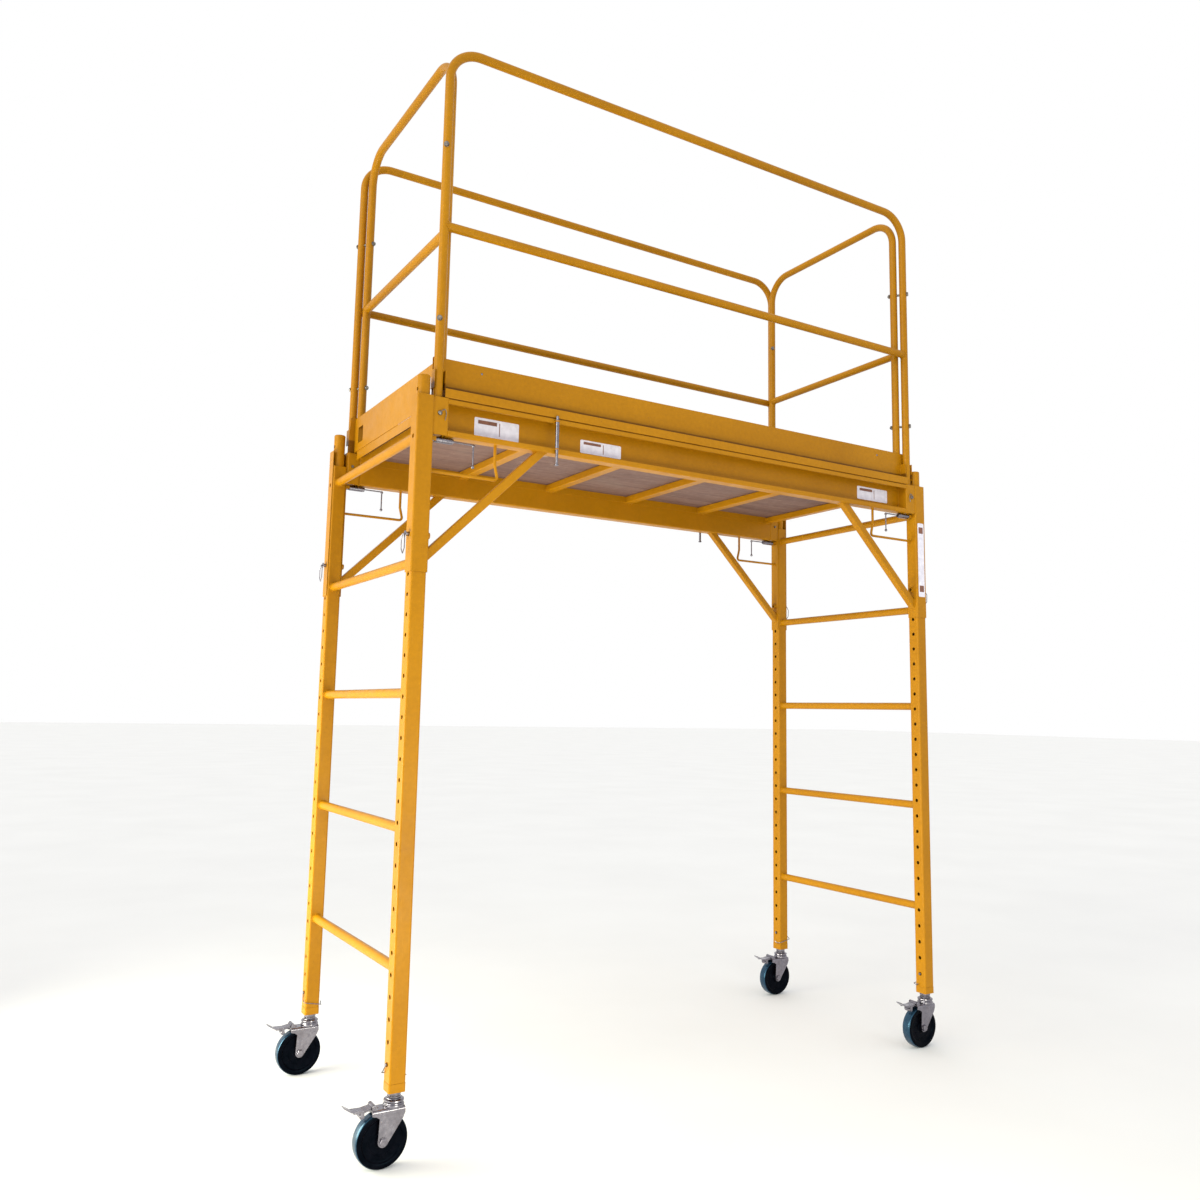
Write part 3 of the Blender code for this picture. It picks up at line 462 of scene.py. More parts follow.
def amber_paint(name, painted_shade=None):
    finish = Finish(name, 0.34)
    tone = finish.ramp(finish.noise(2.3, 4), (0.32, (0.385, 0.158, 0.0018)), (0.68, (0.465, 0.2, 0.0034)))
    mottle = finish.ramp(finish.noise(85, 3), (0.3, 0.9), (0.7, 1.0))
    colour = finish.mix(1.0, tone, mottle, "MULTIPLY")
    rub = finish.noise(9.0, 5, 0.7, finish.scaled((1.0, 1.0, 3.5)))
    colour = finish.mix(finish.ramp(rub, (0.62, 0.0), (0.8, 0.35)), colour, (0.31, 0.118, 0.003))
    speck = finish.math("MULTIPLY", finish.ramp(finish.noise(420, 2, 0.4), (0.7, 0.0), (0.74, 1.0)),
                        finish.ramp(finish.noise(7.0, 3), (0.52, 0.0), (0.62, 0.8)))
    colour = finish.mix(speck, colour, (0.13, 0.066, 0.022))
    scratch = finish.math("MULTIPLY",
                          finish.ramp(finish.noise(14, 2, 0.5, finish.scaled((60, 60, 1.5)), 0.6),
                                      (0.7, 0.0), (0.76, 1.0)),
                          finish.ramp(finish.noise(5.0, 3), (0.5, 0.0), (0.6, 0.5)))
    colour = finish.mix(scratch, colour, (0.62, 0.34, 0.05))
    # Painted shade: below a given height the paint darkens to a deep brown, with a soft, noisy edge. It
    # stands in for the shade in a slot or seam.
    if painted_shade:
        low, high, soft = painted_shade
        height = finish.tree.nodes.new("ShaderNodeSeparateXYZ")
        finish.set(height, Vector=finish.position)
        level = finish.math("ADD", height.outputs["Z"], finish.math("MULTIPLY", finish.noise(30, 3), soft))
        below = finish.ramp(finish.math("DIVIDE", finish.math("SUBTRACT", high + soft, level), soft),
                            (0.0, 0.0), (1.0, 0.8))
        above = finish.math("GREATER_THAN", height.outputs["Z"], low)
        colour = finish.mix(finish.math("MULTIPLY", below, above), colour, (0.1, 0.034, 0.002))
    roughness = finish.ramp(finish.noise(26, 4), (0.3, 0.28), (0.7, 0.44))
    peel = finish.bump(finish.noise(620, 2), 0.16, 0.0004)
    return finish.done(Base_Color=colour, Roughness=roughness,
                       Normal=finish.bump(finish.noise(38, 3), 0.1, 0.0015, peel),
                       Specular_IOR_Level=0.14)


def zinc():
    finish = Finish("zinc", 0.3, 1.0)
    spangle = finish.ramp(finish.noise(110, 3, 0.6), (0.3, (0.19, 0.18, 0.21)), (0.7, (0.28, 0.265, 0.3)))
    stain = finish.ramp(finish.noise(24, 4), (0.45, 0.0), (0.75, 0.5))
    colour = finish.mix(stain, spangle, (0.15, 0.135, 0.15))
    roughness = finish.ramp(finish.noise(180, 3), (0.3, 0.16), (0.72, 0.32))
    return finish.done(Base_Color=colour, Roughness=roughness,
                       Normal=finish.bump(finish.noise(520, 3), 0.18, 0.0003))


def dark_steel():
    finish = Finish("dark_steel", 0.4, 1.0)
    colour = finish.ramp(finish.noise(130, 4, 0.6), (0.3, (0.11, 0.1, 0.095)), (0.72, (0.34, 0.31, 0.28)))
    roughness = finish.ramp(finish.noise(210, 3), (0.3, 0.28), (0.7, 0.52))
    return finish.done(Base_Color=colour, Roughness=roughness,
                       Normal=finish.bump(finish.noise(700, 3), 0.25, 0.0003))


def plywood():
    finish = Finish("plywood", 0.7)
    figure = finish.noise(1.0, 6, 0.62, finish.scaled((2.2, 26, 26)), 1.6)
    colour = finish.ramp(figure, (0.28, (0.105, 0.052, 0.042)), (0.5, (0.17, 0.092, 0.073)),
                         (0.72, (0.215, 0.125, 0.1)))
    fibre = finish.ramp(finish.noise(9.0, 4, 0.7, finish.scaled((3, 90, 90))), (0.35, 0.88), (0.65, 1.0))
    colour = finish.mix(1.0, colour, fibre, "MULTIPLY")
    patch = finish.ramp(finish.noise(3.2, 2, 0.4), (0.58, 0.0), (0.7, 0.45))
    colour = finish.mix(patch, colour, (0.2, 0.15, 0.12))
    spot = finish.math("MULTIPLY",
                       finish.ramp(finish.noise(26, 1, 0.3, finish.scaled((0.6, 1, 1))), (0.7, 0.0),
                                   (0.76, 0.8)),
                       finish.ramp(finish.noise(4.0, 2), (0.5, 0.0), (0.58, 1.0)))
    colour = finish.mix(spot, colour, (0.42, 0.3, 0.22))
    split = finish.tree.nodes.new("ShaderNodeSeparateXYZ")
    finish.set(split, Vector=finish.position)
    plies = finish.math("FRACT", finish.math("MULTIPLY", split.outputs["Z"], 230.0))
    layer = finish.ramp(plies, (0.42, (0.1, 0.058, 0.04)), (0.55, (0.34, 0.235, 0.165)))
    normal = finish.tree.nodes.new("ShaderNodeSeparateXYZ")
    finish.set(normal, Vector=finish.tree.nodes.new("ShaderNodeNewGeometry").outputs["Normal"])
    edge = finish.math("LESS_THAN", finish.math("ABSOLUTE", normal.outputs["Z"]), 0.5)
    colour = finish.mix(edge, colour, layer)
    roughness = finish.ramp(finish.noise(40, 3), (0.3, 0.62), (0.7, 0.82))
    grain = finish.bump(finish.noise(9.0, 4, 0.7, finish.scaled((3, 90, 90))), 0.35, 0.0006)
    return finish.done(Base_Color=colour, Roughness=roughness, Normal=grain)


def black_wheel(name, low, high, level):
    finish = Finish(name, 0.25)
    colour = finish.ramp(finish.noise(60, 4), (0.35, low), (0.75, high))
    dust = finish.ramp(finish.noise(140, 5, 0.7), (0.6, 0.0), (0.82, 0.3))
    colour = finish.mix(dust, colour, (0.018, 0.018, 0.022))
    roughness = finish.ramp(finish.noise(75, 4), (0.3, 0.16), (0.72, 0.38))
    # The blue Specular_Tint paints a blue colour into the rubber's reflections.
    return finish.done(Base_Color=colour, Roughness=roughness,
                       Normal=finish.bump(finish.noise(300, 3), 0.12, 0.0004),
                       Specular_Tint=(0.3, 0.66, 1.0, 1.0), Specular_IOR_Level=level)


def label(name, dark, light):
    finish = Finish(name, 0.42)
    colour = finish.ramp(finish.noise(70, 4), (0.3, dark), (0.65, light))
    roughness = finish.ramp(finish.noise(120, 3), (0.3, 0.32), (0.7, 0.52))
    return finish.done(Base_Color=colour, Roughness=roughness,
                       Normal=finish.bump(finish.noise(260, 2), 0.08, 0.0003))


def floor_finish():
    finish = Finish("floor", 0.85)
    colour = finish.ramp(finish.noise(1.2, 3), (0.3, (0.8, 0.8, 0.8)), (0.7, (0.83, 0.83, 0.83)))
    return finish.done(Base_Color=colour)


MATERIALS = {
    "amber_paint": (amber_paint("amber_paint"), "amber_paint"),
    # The toe boards' amber paint with painted shade at its foot, and the tray's with painted shade along
    # its seam with the rail.
    "board_paint_slot_shade": (amber_paint("board_paint_slot_shade", painted_shade=BOARD_SLOT_SHADE), "amber_paint"),
    "tray_paint_seam_shade": (amber_paint("tray_paint_seam_shade", painted_shade=SEAM_SHADE), "amber_paint"),
    "zinc": (zinc(), "zinc"),
    "dark_steel": (dark_steel(), "dark_steel"),
    "plywood": (plywood(), "plywood"),
    "black_wheel": (black_wheel("black_wheel", (0.0008, 0.0008, 0.0018), (0.0035, 0.0032, 0.0055), 0.04),
                    "black_rubber"),
    # The tread's copy of the wheel's rubber: its blue base colour and full specular level paint a blue
    # sheen of reflected light.
    "tread_blue_sheen": (black_wheel("tread_blue_sheen", (0.003, 0.012, 0.026), (0.008, 0.026, 0.05), 1.0),
                    "black_rubber"),
    "label": (label("label", (0.66, 0.64, 0.74), (0.8, 0.78, 0.88)), "amber_paint"),
    "label_band": (label("label_band", (0.16, 0.06, 0.035), (0.22, 0.085, 0.05)), "amber_paint"),
}


def piece(name, shapes, finish, body, replaced=()):
    """One visible piece from shapes in the row frame, riding on a CAD body."""
    mesh = combined(shapes)
    mesh.name = name
    mesh.shade_smooth()
    mesh.set_sharp_from_angle(angle=radians(34))
    material, slot = MATERIALS[finish]
    mesh.materials.append(material)
    if finish == "black_wheel":
        # The tread's second material paints a blue sheen on it.
        mesh.materials.append(MATERIALS["tread_blue_sheen"][0])
    item = bpy.data.objects.new(name, mesh)
    bpy.context.scene.collection.objects.link(item)
    normals = item.modifiers.new("normals", "WEIGHTED_NORMAL")
    normals.keep_sharp = True
    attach(item, body)
    if replaced:
        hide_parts(*replaced)
    return item


def at_corner(mesh, place):
    """From corner coordinates, X and Y from the upright to the platform's middle, to the row frame."""
    side, flank = CORNERS[place]
    centre = CENTRES[place]
    return moved(mesh, Matrix.Translation((centre.x, centre.y, 0)) @ Matrix.Diagonal((-side, -flank, 1, 1)))


def cornered(shapes, place):
    return [at_corner(mesh, place) for mesh in shapes]


def at_flank(mesh, flank):
    """From a piece drawn along one side, Y measured from the uprights inwards, to the row frame."""
    return moved(mesh,
                 Matrix.Translation((MIDDLE_X, flank * HALF_Y, 0)) @ Matrix.Diagonal((1, -flank, 1, 1)))


# End frames


def upright():
    """A square tube with its row of holes, and the foot welded in below it."""
    outer = rounded(UPRIGHT_HALF, UPRIGHT_HALF, UPRIGHT_ROUND)
    inner = rounded(UPRIGHT_HALF - UPRIGHT_WALL, UPRIGHT_HALF - UPRIGHT_WALL, UPRIGHT_ROUND - UPRIGHT_WALL)
    tube = eased(extruded([outer, inner], "XY", FOOT_TOP + 0.0008, UPRIGHT_TOP), 0.0004)
    holes = [lathe([(0, -0.03), (HOLE_RADIUS, -0.03), (HOLE_RADIUS, 0.03), (0, 0.03)], 20,
                   facing((0, 0, FIRST_HOLE + k * HOLE_PITCH), (1, 0, 0))) for k in range(HOLE_COUNT)]
    tube = cut(tube, holes)
    proud = UPRIGHT_HALF + 0.0005
    bore = circle((0, 0), 0.012)
    foot = eased(extruded([rounded(proud, proud, UPRIGHT_ROUND), bore], "XY", FOOT_BOTTOM, FOOT_TOP),
                 0.0007)
    recess = UPRIGHT_HALF - 0.0008
    collar = extruded([rounded(recess, recess, UPRIGHT_ROUND - 0.0008), bore], "XY", FOOT_TOP - 0.001,
                      FOOT_TOP + 0.002)
    return [tube, foot, collar]


def build_end_frame(side):
    name = SIDE_NAMES[side]
    body = f"{name}_frame"
    x = CENTRES[f"{name}_near"].x
    reach = HALF_Y - UPRIGHT_HALF
    heights = [FIRST_RUNG + i * RUNG_PITCH for i in range(RUNG_COUNT)]
    rungs = [pin((x, -reach - 0.001, z), (x, reach + 0.001, z), RUNG_RADIUS, 32) for z in heights]
    piece(f"rungs_{name}", rungs, "amber_paint", body)
    welds = []
    for i, z in enumerate(heights):
        for end in (-1, 1):
            ring = [(x + (RUNG_RADIUS + 0.0004) * cos(a), end * reach, z + (RUNG_RADIUS + 0.0004) * sin(a))
                    for a in (2 * pi * k / 36 for k in range(36))]
            welds.append(bead(ring, 0.0023, 10 * i + end + side, cyclic=True))
    piece(f"rung_welds_{name}", welds, "amber_paint", body, [f"{name}_end_frame"])
    for flank_name in FLANK_NAMES.values():
        place = f"{name}_{flank_name}"
        piece(f"upright_{place}", cornered(UPRIGHT, place), "amber_paint", body,
              [f"{name}_end_frame"])
        for part, (shapes, finish, node) in FRAME_PARTS.items():
            piece(f"{part}_{place}", cornered(shapes, place), finish, body, [f"{node}_{place}"])


def coupling_stub():
    """The tube that the frame stacked above slips over, held by welds in the upright's top."""
    radius, bore, low, high, ease = 0.017, 0.014, 1.72, 1.913, 0.0012
    tube = lathe([(bore, low), (radius, low), (radius, high - 2 * ease), (radius - 0.4 * ease, high - ease),
                  (radius - 1.2 * ease, high), (bore, high)], 36, closed=True)
    hole = drill((0, 0, 1.875), (1, 0, 0), 0.0055, 20)
    welds = []
    for i in range(4):
        middle_angle = i * 90
        path = [(*point, UPRIGHT_TOP)
                for point in arc((0, 0), radius + 0.0004, middle_angle - 24, middle_angle + 24, 8)]
        welds.append(bead(path, 0.0014, 50 + i))
    return [cut(tube, [hole])] + welds


def caster_stem():
    stem = lathe([(0, 0.262), (0.0085, 0.262), (0.011, 0.2595), (0.011, 0.1657), (0.015, 0.1657),
                  (0.0165, 0.1643),
                  (0.0165, 0.16), (0.015, 0.1588), (0.015, 0.1572), (0.0165, 0.156), (0.0165, 0.1535),
                  (0.0155, 0.1523), (0, 0.1523)], 32)
    hole = drill((0, 0, FIRST_HOLE), (1, 0, 0), 0.0046, 16)
    return [cut(stem, [hole])]


def caster_pin():
    """The cross pin through upright and stem, and the wire that clips over its end."""
    reach = UPRIGHT_HALF + 0.0045
    z = FIRST_HOLE
    shank = pin((-reach, 0, z), (reach, 0, z), 0.004, 20, 0.0008)
    points = [(-reach + 0.002, 0.001, z - 0.001), (-reach - 0.001, 0.012, z - 0.018),
              (-reach, 0.024, z - 0.024),
              (reach, 0.024, z - 0.034), (reach + 0.001, 0.01, z - 0.036), (reach + 0.004, 0.002, z - 0.03)]
    return [shank, wire(points, 0.0012, 0.003, 8)]


# Platform


def build_rail(flank):
    name = FLANK_NAMES[flank]
    half, out, back = RAIL_WALL / 2, RAIL_OUT, RAIL_IN
    low, high = RAIL_BOTTOM, RAIL_TOP
    line = [(out + half, low + RAIL_LIP), (out + half, low + half), (back - half, low + half),
            (back - half, high - half), (out + half, high - half), (out + half, high - RAIL_LIP)]
    length = HALF_X - SOCKET_END
    rail = eased(extruded([sheet(line, RAIL_WALL, 0.0032)], "YZ", -length, length), 0.0004)
    piece(f"side_rail_{name}", [at_flank(rail, flank)], "amber_paint", "platform", [f"side_frame_{name}"])


def end_socket():
    """The square tube for a guard rail post, and the welds round it."""
    mid_y, half = (RAIL_OUT + RAIL_IN) / 2, (SOCKET_END - SOCKET_START) / 2
    proud = 0.0004
    outer = rounded(half + proud, half + proud, 0.0045, (SOCKET_X, mid_y))
    inner = rounded(half - RAIL_WALL, half - RAIL_WALL, 0.002, (SOCKET_X, mid_y))
    tube = eased(extruded([outer, inner], "XY", RAIL_BOTTOM - proud, RAIL_TOP + proud), 0.0004)
    hole = drill((POST_X, 0, POST_PIN_HEIGHT), (0, 1, 0), 0.0046, 20)
    face = RAIL_OUT - 0.0004
    welds = [bead([(SLEEVE_HALF + 0.0006, face + 0.0012, RAIL_BOTTOM + 0.003),
                   (SLEEVE_HALF + 0.0006, face + 0.0012, RAIL_TOP - 0.003)], 0.0017, 61),
             bead([(SOCKET_END, face + 0.001, RAIL_BOTTOM + 0.002),
                   (SOCKET_END, face + 0.001, RAIL_BOTTOM + RAIL_LIP)], 0.0016, 62),
             bead([(SOCKET_END, face + 0.001, RAIL_TOP - RAIL_LIP),
                   (SOCKET_END, face + 0.001, RAIL_TOP - 0.002)], 0.0016, 63),
             bead([(SOCKET_END, -0.015, RAIL_BOTTOM), (SOCKET_END, 0.015, RAIL_BOTTOM)], 0.0015, 64),
             bead([(SOCKET_END + 0.0002, RAIL_IN - 0.003, RAIL_BOTTOM + 0.006),
                   (SOCKET_END + 0.0002, RAIL_IN - 0.003, RAIL_TOP - 0.006)], 0.0016, 65)]
    return [cut(tube, [hole])] + welds


def sleeve():
    half = SLEEVE_HALF - SLEEVE_WALL / 2
    line = [(-half, SLEEVE_EDGE), (-half, -half), (half, -half), (half, SLEEVE_EDGE)]
    body = eased(extruded([sheet(line, SLEEVE_WALL, 0.004)], "XY", SLEEVE_BOTTOM, SLEEVE_TOP), 0.0004)
    holes = [drill((0, 0, z), (1, 0, 0), 0.0063, 20)
             for z in (LOCK_HEIGHT, PIN_HEIGHT)]
    return [cut(body, holes)]


def brace():
    """A square tube from the sleeve up to the rail, its ends cut to meet them, and the welds there."""
    start, end = Vector((SLEEVE_HALF, 0, BRACE_LOW)), Vector((BRACE_FAR, 0, RAIL_BOTTOM))
    run = (end - start).normalized()
    up = Vector((-run.z, 0, run.x))
    outline = rounded(BRACE_HALF, BRACE_HALF, 0.0032)
    lower, upper = [], []
    for a, b in outline:
        point = start + up * a + Vector((0, b, 0))
        lower.append(point + run * ((SLEEVE_HALF - point.x) / run.x))
        upper.append(point + run * ((RAIL_BOTTOM - point.z) / run.z))
    bm = bmesh.new()
    rings = [[bm.verts.new(p) for p in ring] for ring in (lower, upper)]
    count = len(outline)
    for k in range(count):
        j = (k + 1) % count
        bm.faces.new((rings[0][k], rings[0][j], rings[1][j], rings[1][k]))
    bm.faces.new(rings[0])
    bm.faces.new(rings[1])
    bmesh.ops.recalc_face_normals(bm, faces=bm.faces)
    return [mesh_of(bm), bead(lower, 0.0021, 71, cyclic=True), bead(upper, 0.0021, 72, cyclic=True)]


def pin_guard():
    corners = [(GUARD_FAR, 0, RAIL_BOTTOM + 0.001), (GUARD_FAR, 0, GUARD_LOW + 0.041),
               (GUARD_FAR + 0.01, 0, GUARD_LOW), (SLEEVE_HALF - 0.001, 0, GUARD_LOW)]
    rings = [[(GUARD_FAR + 0.0042 * cos(a), 0.0042 * sin(a), RAIL_BOTTOM)
              for a in (k * pi / 8 for k in range(16))],
             [(SLEEVE_HALF, 0.0042 * cos(a), GUARD_LOW + 0.0042 * sin(a))
              for a in (k * pi / 8 for k in range(16))]]
    return [sweep(bent(corners, 0.009, 8), GUARD_RADIUS, 16)] + [bead(ring, 0.0013, 75 + i, cyclic=True)
                                                                 for i, ring in enumerate(rings)]


def lock_cheeks():
    shapes = []
    for y in (-0.0074, 0.0074):
        outline = rounded(0.0075, 0.0055, 0.0018, (SLEEVE_HALF + 0.0065, LOCK_HEIGHT), 3)
        shapes.append(eased(extruded([outline], "XZ", -y - 0.001, -y + 0.001), 0.0003))
    return shapes


def lock_barrel():
    """A spring pin's barrel, turned down at both ends."""
    r, ease = BARREL_RADIUS, 0.0008
    length = BARREL_END - BARREL_START
    profile = [(BARREL_BORE, 0), (r - 0.0016, 0), (r - 0.0008, 0.0008), (r - 0.0008, 0.004), (r, 0.0048),
               (r, length - 0.0062), (r - 0.001, length - 0.0054), (r - 0.001, length - ease),
               (r - 0.001 - ease, length), (0.0034, length), (0.0034, length - 0.002),
               (BARREL_BORE, length - 0.002)]
    return [lathe(profile, ROUND, facing((BARREL_START, 0, LOCK_HEIGHT), (1, 0, 0)), closed=True)]


def pin_boss():
    profile = [(0.006, 0), (0.0085, 0), (0.0085, 0.0085), (0.0078, 0.0092), (0.006, 0.0092)]
    ring = lathe(profile, ROUND, facing((SLEEVE_HALF - 0.0008, 0, PIN_HEIGHT), (1, 0, 0)), closed=True)
    weld = [(SLEEVE_HALF, 0.0087 * cos(a), PIN_HEIGHT + 0.0087 * sin(a))
            for a in (k * pi / 12 for k in range(24))]
    return [ring, bead(weld, 0.0014, 78, cyclic=True)]


def deck_lock_lugs():
    x, y = DECK_LOCK_X, DECK_LOCK_Y
    shapes = []
    for low, high in ((1.7685, 1.7715), (1.846, 1.85)):
        outline = [(x - 0.0062, RAIL_OUT + 0.0008), (x - 0.0062, y)] + arc((x, y), 0.0062, 180, 360,
                                                                           8) + [(x + 0.0062,
                                                                                  RAIL_OUT + 0.0008)]
        shapes.append(eased(extruded([outline, circle((x, y), 0.0054, 20)], "XY", low, high), 0.0002))
    return shapes


def deck_lock_barrel():
    r = 0.0053
    profile = [(0.0043, 1.768), (r - 0.0008, 1.768), (r, 1.7688), (r, 1.8522), (r - 0.0008, 1.853),
               (0.0043, 1.853)]
    return [lathe(profile, ROUND, Matrix.Translation((DECK_LOCK_X, DECK_LOCK_Y, 0)), closed=True)]


def build_tray():
    low = RAIL_TOP + GAP + TRAY_SHEET / 2
    half = TRAY_SHEET / 2
    line = [(RAIL_OUT + half, TRAY_LIP_TOP), (RAIL_OUT + half, low), (TRAY_LEG + half, low),
            (TRAY_LEG + half, TRAY_LEG_BOTTOM)]
    length = HALF_X - TRAY_END
    edge = eased(extruded([sheet(line, TRAY_SHEET, 0.004)], "YZ", -length, length), 0.0003)
    # The tray's lip and leg carry a band of painted shade at the seam with the rail.
    piece("tray_edges", [at_flank(edge, flank) for flank in (-1, 1)], "tray_paint_seam_shade", "platform",
          ["deck_tray"])
    strips = []
    for side in (-1, 1):
        x, width = MIDDLE_X + side * (HALF_X - PLY_END + GAP + STRIP_SHEET / 2), HALF_Y - NOTCH_EDGE
        outline = [(x - STRIP_SHEET / 2, -width), (x + STRIP_SHEET / 2, -width),
                   (x + STRIP_SHEET / 2, width), (x - STRIP_SHEET / 2, width)]
        strips.append(eased(extruded([outline], "XY", STRIP_BOTTOM, STRIP_TOP), 0.0003))
    piece("tray_end_strips", strips, "amber_paint", "platform", ["deck_tray"])
    reach = HALF_Y - TRAY_LEG - TRAY_SHEET
    places = [(MIDDLE_X + x * BAR_PITCH, BAR_WIDTH) for x in (-1.5, -0.5, 0.5, 1.5)]
    places += [(MIDDLE_X + side * (HALF_X - END_BAR_X), END_BAR_WIDTH) for side in (-1, 1)]
    bars, welds, screws = [], [], []
    z = BAR_TOP - BAR_HEIGHT / 2
    for i, (x, width) in enumerate(places):
        outline = rounded(width / 2, BAR_HEIGHT / 2, 0.003, (x, z))
        bars.append(extruded([outline], "XZ", -reach, reach))
        for end in (-1, 1):
            ring = [(a, end * reach, b) for a, b in outline if b < BAR_TOP - 0.002]
            welds.append(bead(ring, 0.0019, 80 + 2 * i + end))
        for y in (-0.27, 0.0, 0.27):
            head = [(0, 0.0009), (0.0018, 0.0009), (0.0022, 0.0004), (0.0042, 0.0004), (0.0048, 0),
                    (0.0048, -0.002), (0, -0.002)]
            screws.append(lathe(head, 20, Matrix.Translation((x, y, DECK_TOP))))
    piece("tray_bars", bars, "amber_paint", "platform", ["deck_tray"])
    piece("tray_bar_welds", welds, "amber_paint", "platform", ["deck_tray"])
    piece("deck_screws", screws, "zinc", "platform")
    x, y, notch_x, notch_y = HALF_X - PLY_END, HALF_Y - PLY_EDGE, HALF_X - NOTCH_END, HALF_Y - NOTCH_EDGE
    quarter = [(x, notch_y), (notch_x, notch_y), (notch_x, y)]
    outline = quarter + [(-a, b) for a, b in quarter[::-1]]
    outline += [(-a, -b) for a, b in outline]
    ply = extruded([[(MIDDLE_X + a, b) for a, b in outline]], "XY", DECK_TOP - PLY_THICK, DECK_TOP)
    piece("plywood_deck", [eased(ply, 0.0008)], "plywood", "platform", ["deck_panel"])


def build_long_toe_board(flank):
    """A sheet with eased corners, tabs bent outwards on both sides of each post, and two rivets."""
    name = FLANK_NAMES[flank]
    length, front, back = HALF_X - LONG_BOARD_END, LONG_BOARD_Y, LONG_BOARD_Y + BOARD_SHEET
    mid_z, half_z = (BOARD_BOTTOM + BOARD_TOP) / 2, (BOARD_TOP - BOARD_BOTTOM) / 2
    board = extruded([rounded(length - 0.0032, half_z, 0.006, (0, mid_z))], "XZ", -back, -front)
    board = moved(board, Matrix.Diagonal((1, -1, 1, 1)))
    shapes = [eased(board, 0.0003)]
    middle_y = (front + back) / 2
    for end in (-1, 1):
        edge = end * (length - 0.0032)
        outer = end * (length - GAP - BOARD_SHEET / 2)
        line = [(edge - end * 0.0105, middle_y), (outer, middle_y), (outer, front - TAB_REACH)]
        tab = extruded([sheet(line, BOARD_SHEET - 0.0001, 0.0016)], "XY", TAB_BOTTOM, TAB_TOP)
        shapes.append(eased(tab, 0.0003))
        inner = end * (HALF_X - INNER_TAB - BOARD_SHEET / 2)
        line = [(inner - end * 0.012, front - BOARD_SHEET / 2), (inner, front - BOARD_SHEET / 2),
                (inner, front - TAB_REACH)]
        tab = extruded([sheet(line, BOARD_SHEET, 0.0016)], "XY", TAB_BOTTOM, TAB_TOP)
        shapes.append(eased(tab, 0.0003))
    # The sheet's foot carries a band of painted shade behind the tray's lip.
    piece(f"toe_sheet_{name}", [at_flank(shape, flank) for shape in shapes], "board_paint_slot_shade", "platform",
          [f"toe_board_{name}"])
    dome = [(0, 0.0016), (0.0016, 0.0014), (0.0028, 0.0007), (0.0032, 0), (0.0032, -0.001), (0, -0.001)]
    rivets = [lathe(dome, 16, facing((end * 0.742, front, 1.953), (0, -1, 0))) for end in (-1, 1)]
    piece(f"toe_rivets_{name}", [at_flank(shape, flank) for shape in rivets], "zinc", "platform")


def build_end_toe_board(side):
    """A sheet with a window near each post, whose tab is bent in beside the post."""
    name = SIDE_NAMES[side]
    length = HALF_Y - END_BOARD_END
    mid_z, half_z = (BOARD_BOTTOM + END_BOARD_TOP) / 2, (END_BOARD_TOP - BOARD_BOTTOM) / 2
    outlines = [rounded(length, half_z, 0.006, (0, mid_z))]
    back = END_BOARD_X + BOARD_SHEET
    tabs = []
    for flank in (-1, 1):
        window = sorted(flank * (HALF_Y - edge) for edge in (WINDOW_START, WINDOW_END))
        half_y, mid_y = (window[1] - window[0]) / 2, (window[0] + window[1]) / 2
        outlines.append(rounded(half_y, (TAB_TOP - TAB_BOTTOM) / 2, 0.003,
                                (mid_y, (TAB_TOP + TAB_BOTTOM) / 2)))
        y = flank * (HALF_Y - WINDOW_START + BOARD_SHEET / 2 + GAP)
        line = [(back + BOARD_SHEET / 2, y + flank * 0.011), (back + BOARD_SHEET / 2, y),
                (back + TAB_REACH, y)]
        tabs.append(eased(extruded([sheet(line, BOARD_SHEET, 0.0016)], "XY", TAB_BOTTOM + 0.001,
                                   TAB_TOP - 0.001), 0.0003))
    board = eased(extruded(outlines, "YZ", END_BOARD_X, back), 0.0003)
    place = Matrix.Translation((MIDDLE_X + side * HALF_X, 0, 0)) @ Matrix.Diagonal((-side, 1, 1, 1))
    piece(f"toe_sheet_{name}", [moved(shape, place) for shape in [board] + tabs], "amber_paint",
          "platform", [f"toe_board_{name}"])


def build_guard_rail(name, start, end, foot):
    """A tube bent into a hoop, and the mid rail welded between its posts."""
    start, end = Vector(start), Vector(end)
    run = (end - start).normalized()
    across = Vector((-run.y, run.x, 0))
    corners = [(*start.xy, foot), (*start.xy, TOP_RAIL), (*end.xy, TOP_RAIL), (*end.xy, foot)]
    hoop = sweep(bent(corners, RAIL_BEND, 14), TUBE_RADIUS, 32)
    piece(f"hoop_{name}", [hoop], "amber_paint", "platform", [f"guard_rail_{name}"])
    lift = Vector((0, 0, MID_RAIL))
    short = TUBE_RADIUS * 0.3
    bar = sweep([start + run * short + lift, end - run * short + lift], TUBE_RADIUS, 32)
    welds = []
    for i, (post, inward) in enumerate(((start, run), (end, -run))):
        saddle = []
        for k in range(40):
            angle = 2 * pi * k / 40
            reach = TUBE_RADIUS * abs(sin(angle)) + 0.0006
            ring = across * TUBE_RADIUS * cos(angle) + Vector((0, 0, TUBE_RADIUS * sin(angle)))
            saddle.append(post + inward * reach + ring * 1.02 + lift)
        welds.append(bead(saddle, 0.0018, 90 + i, cyclic=True))
    piece(f"mid_rail_{name}", [bar] + welds, "amber_paint", "platform")


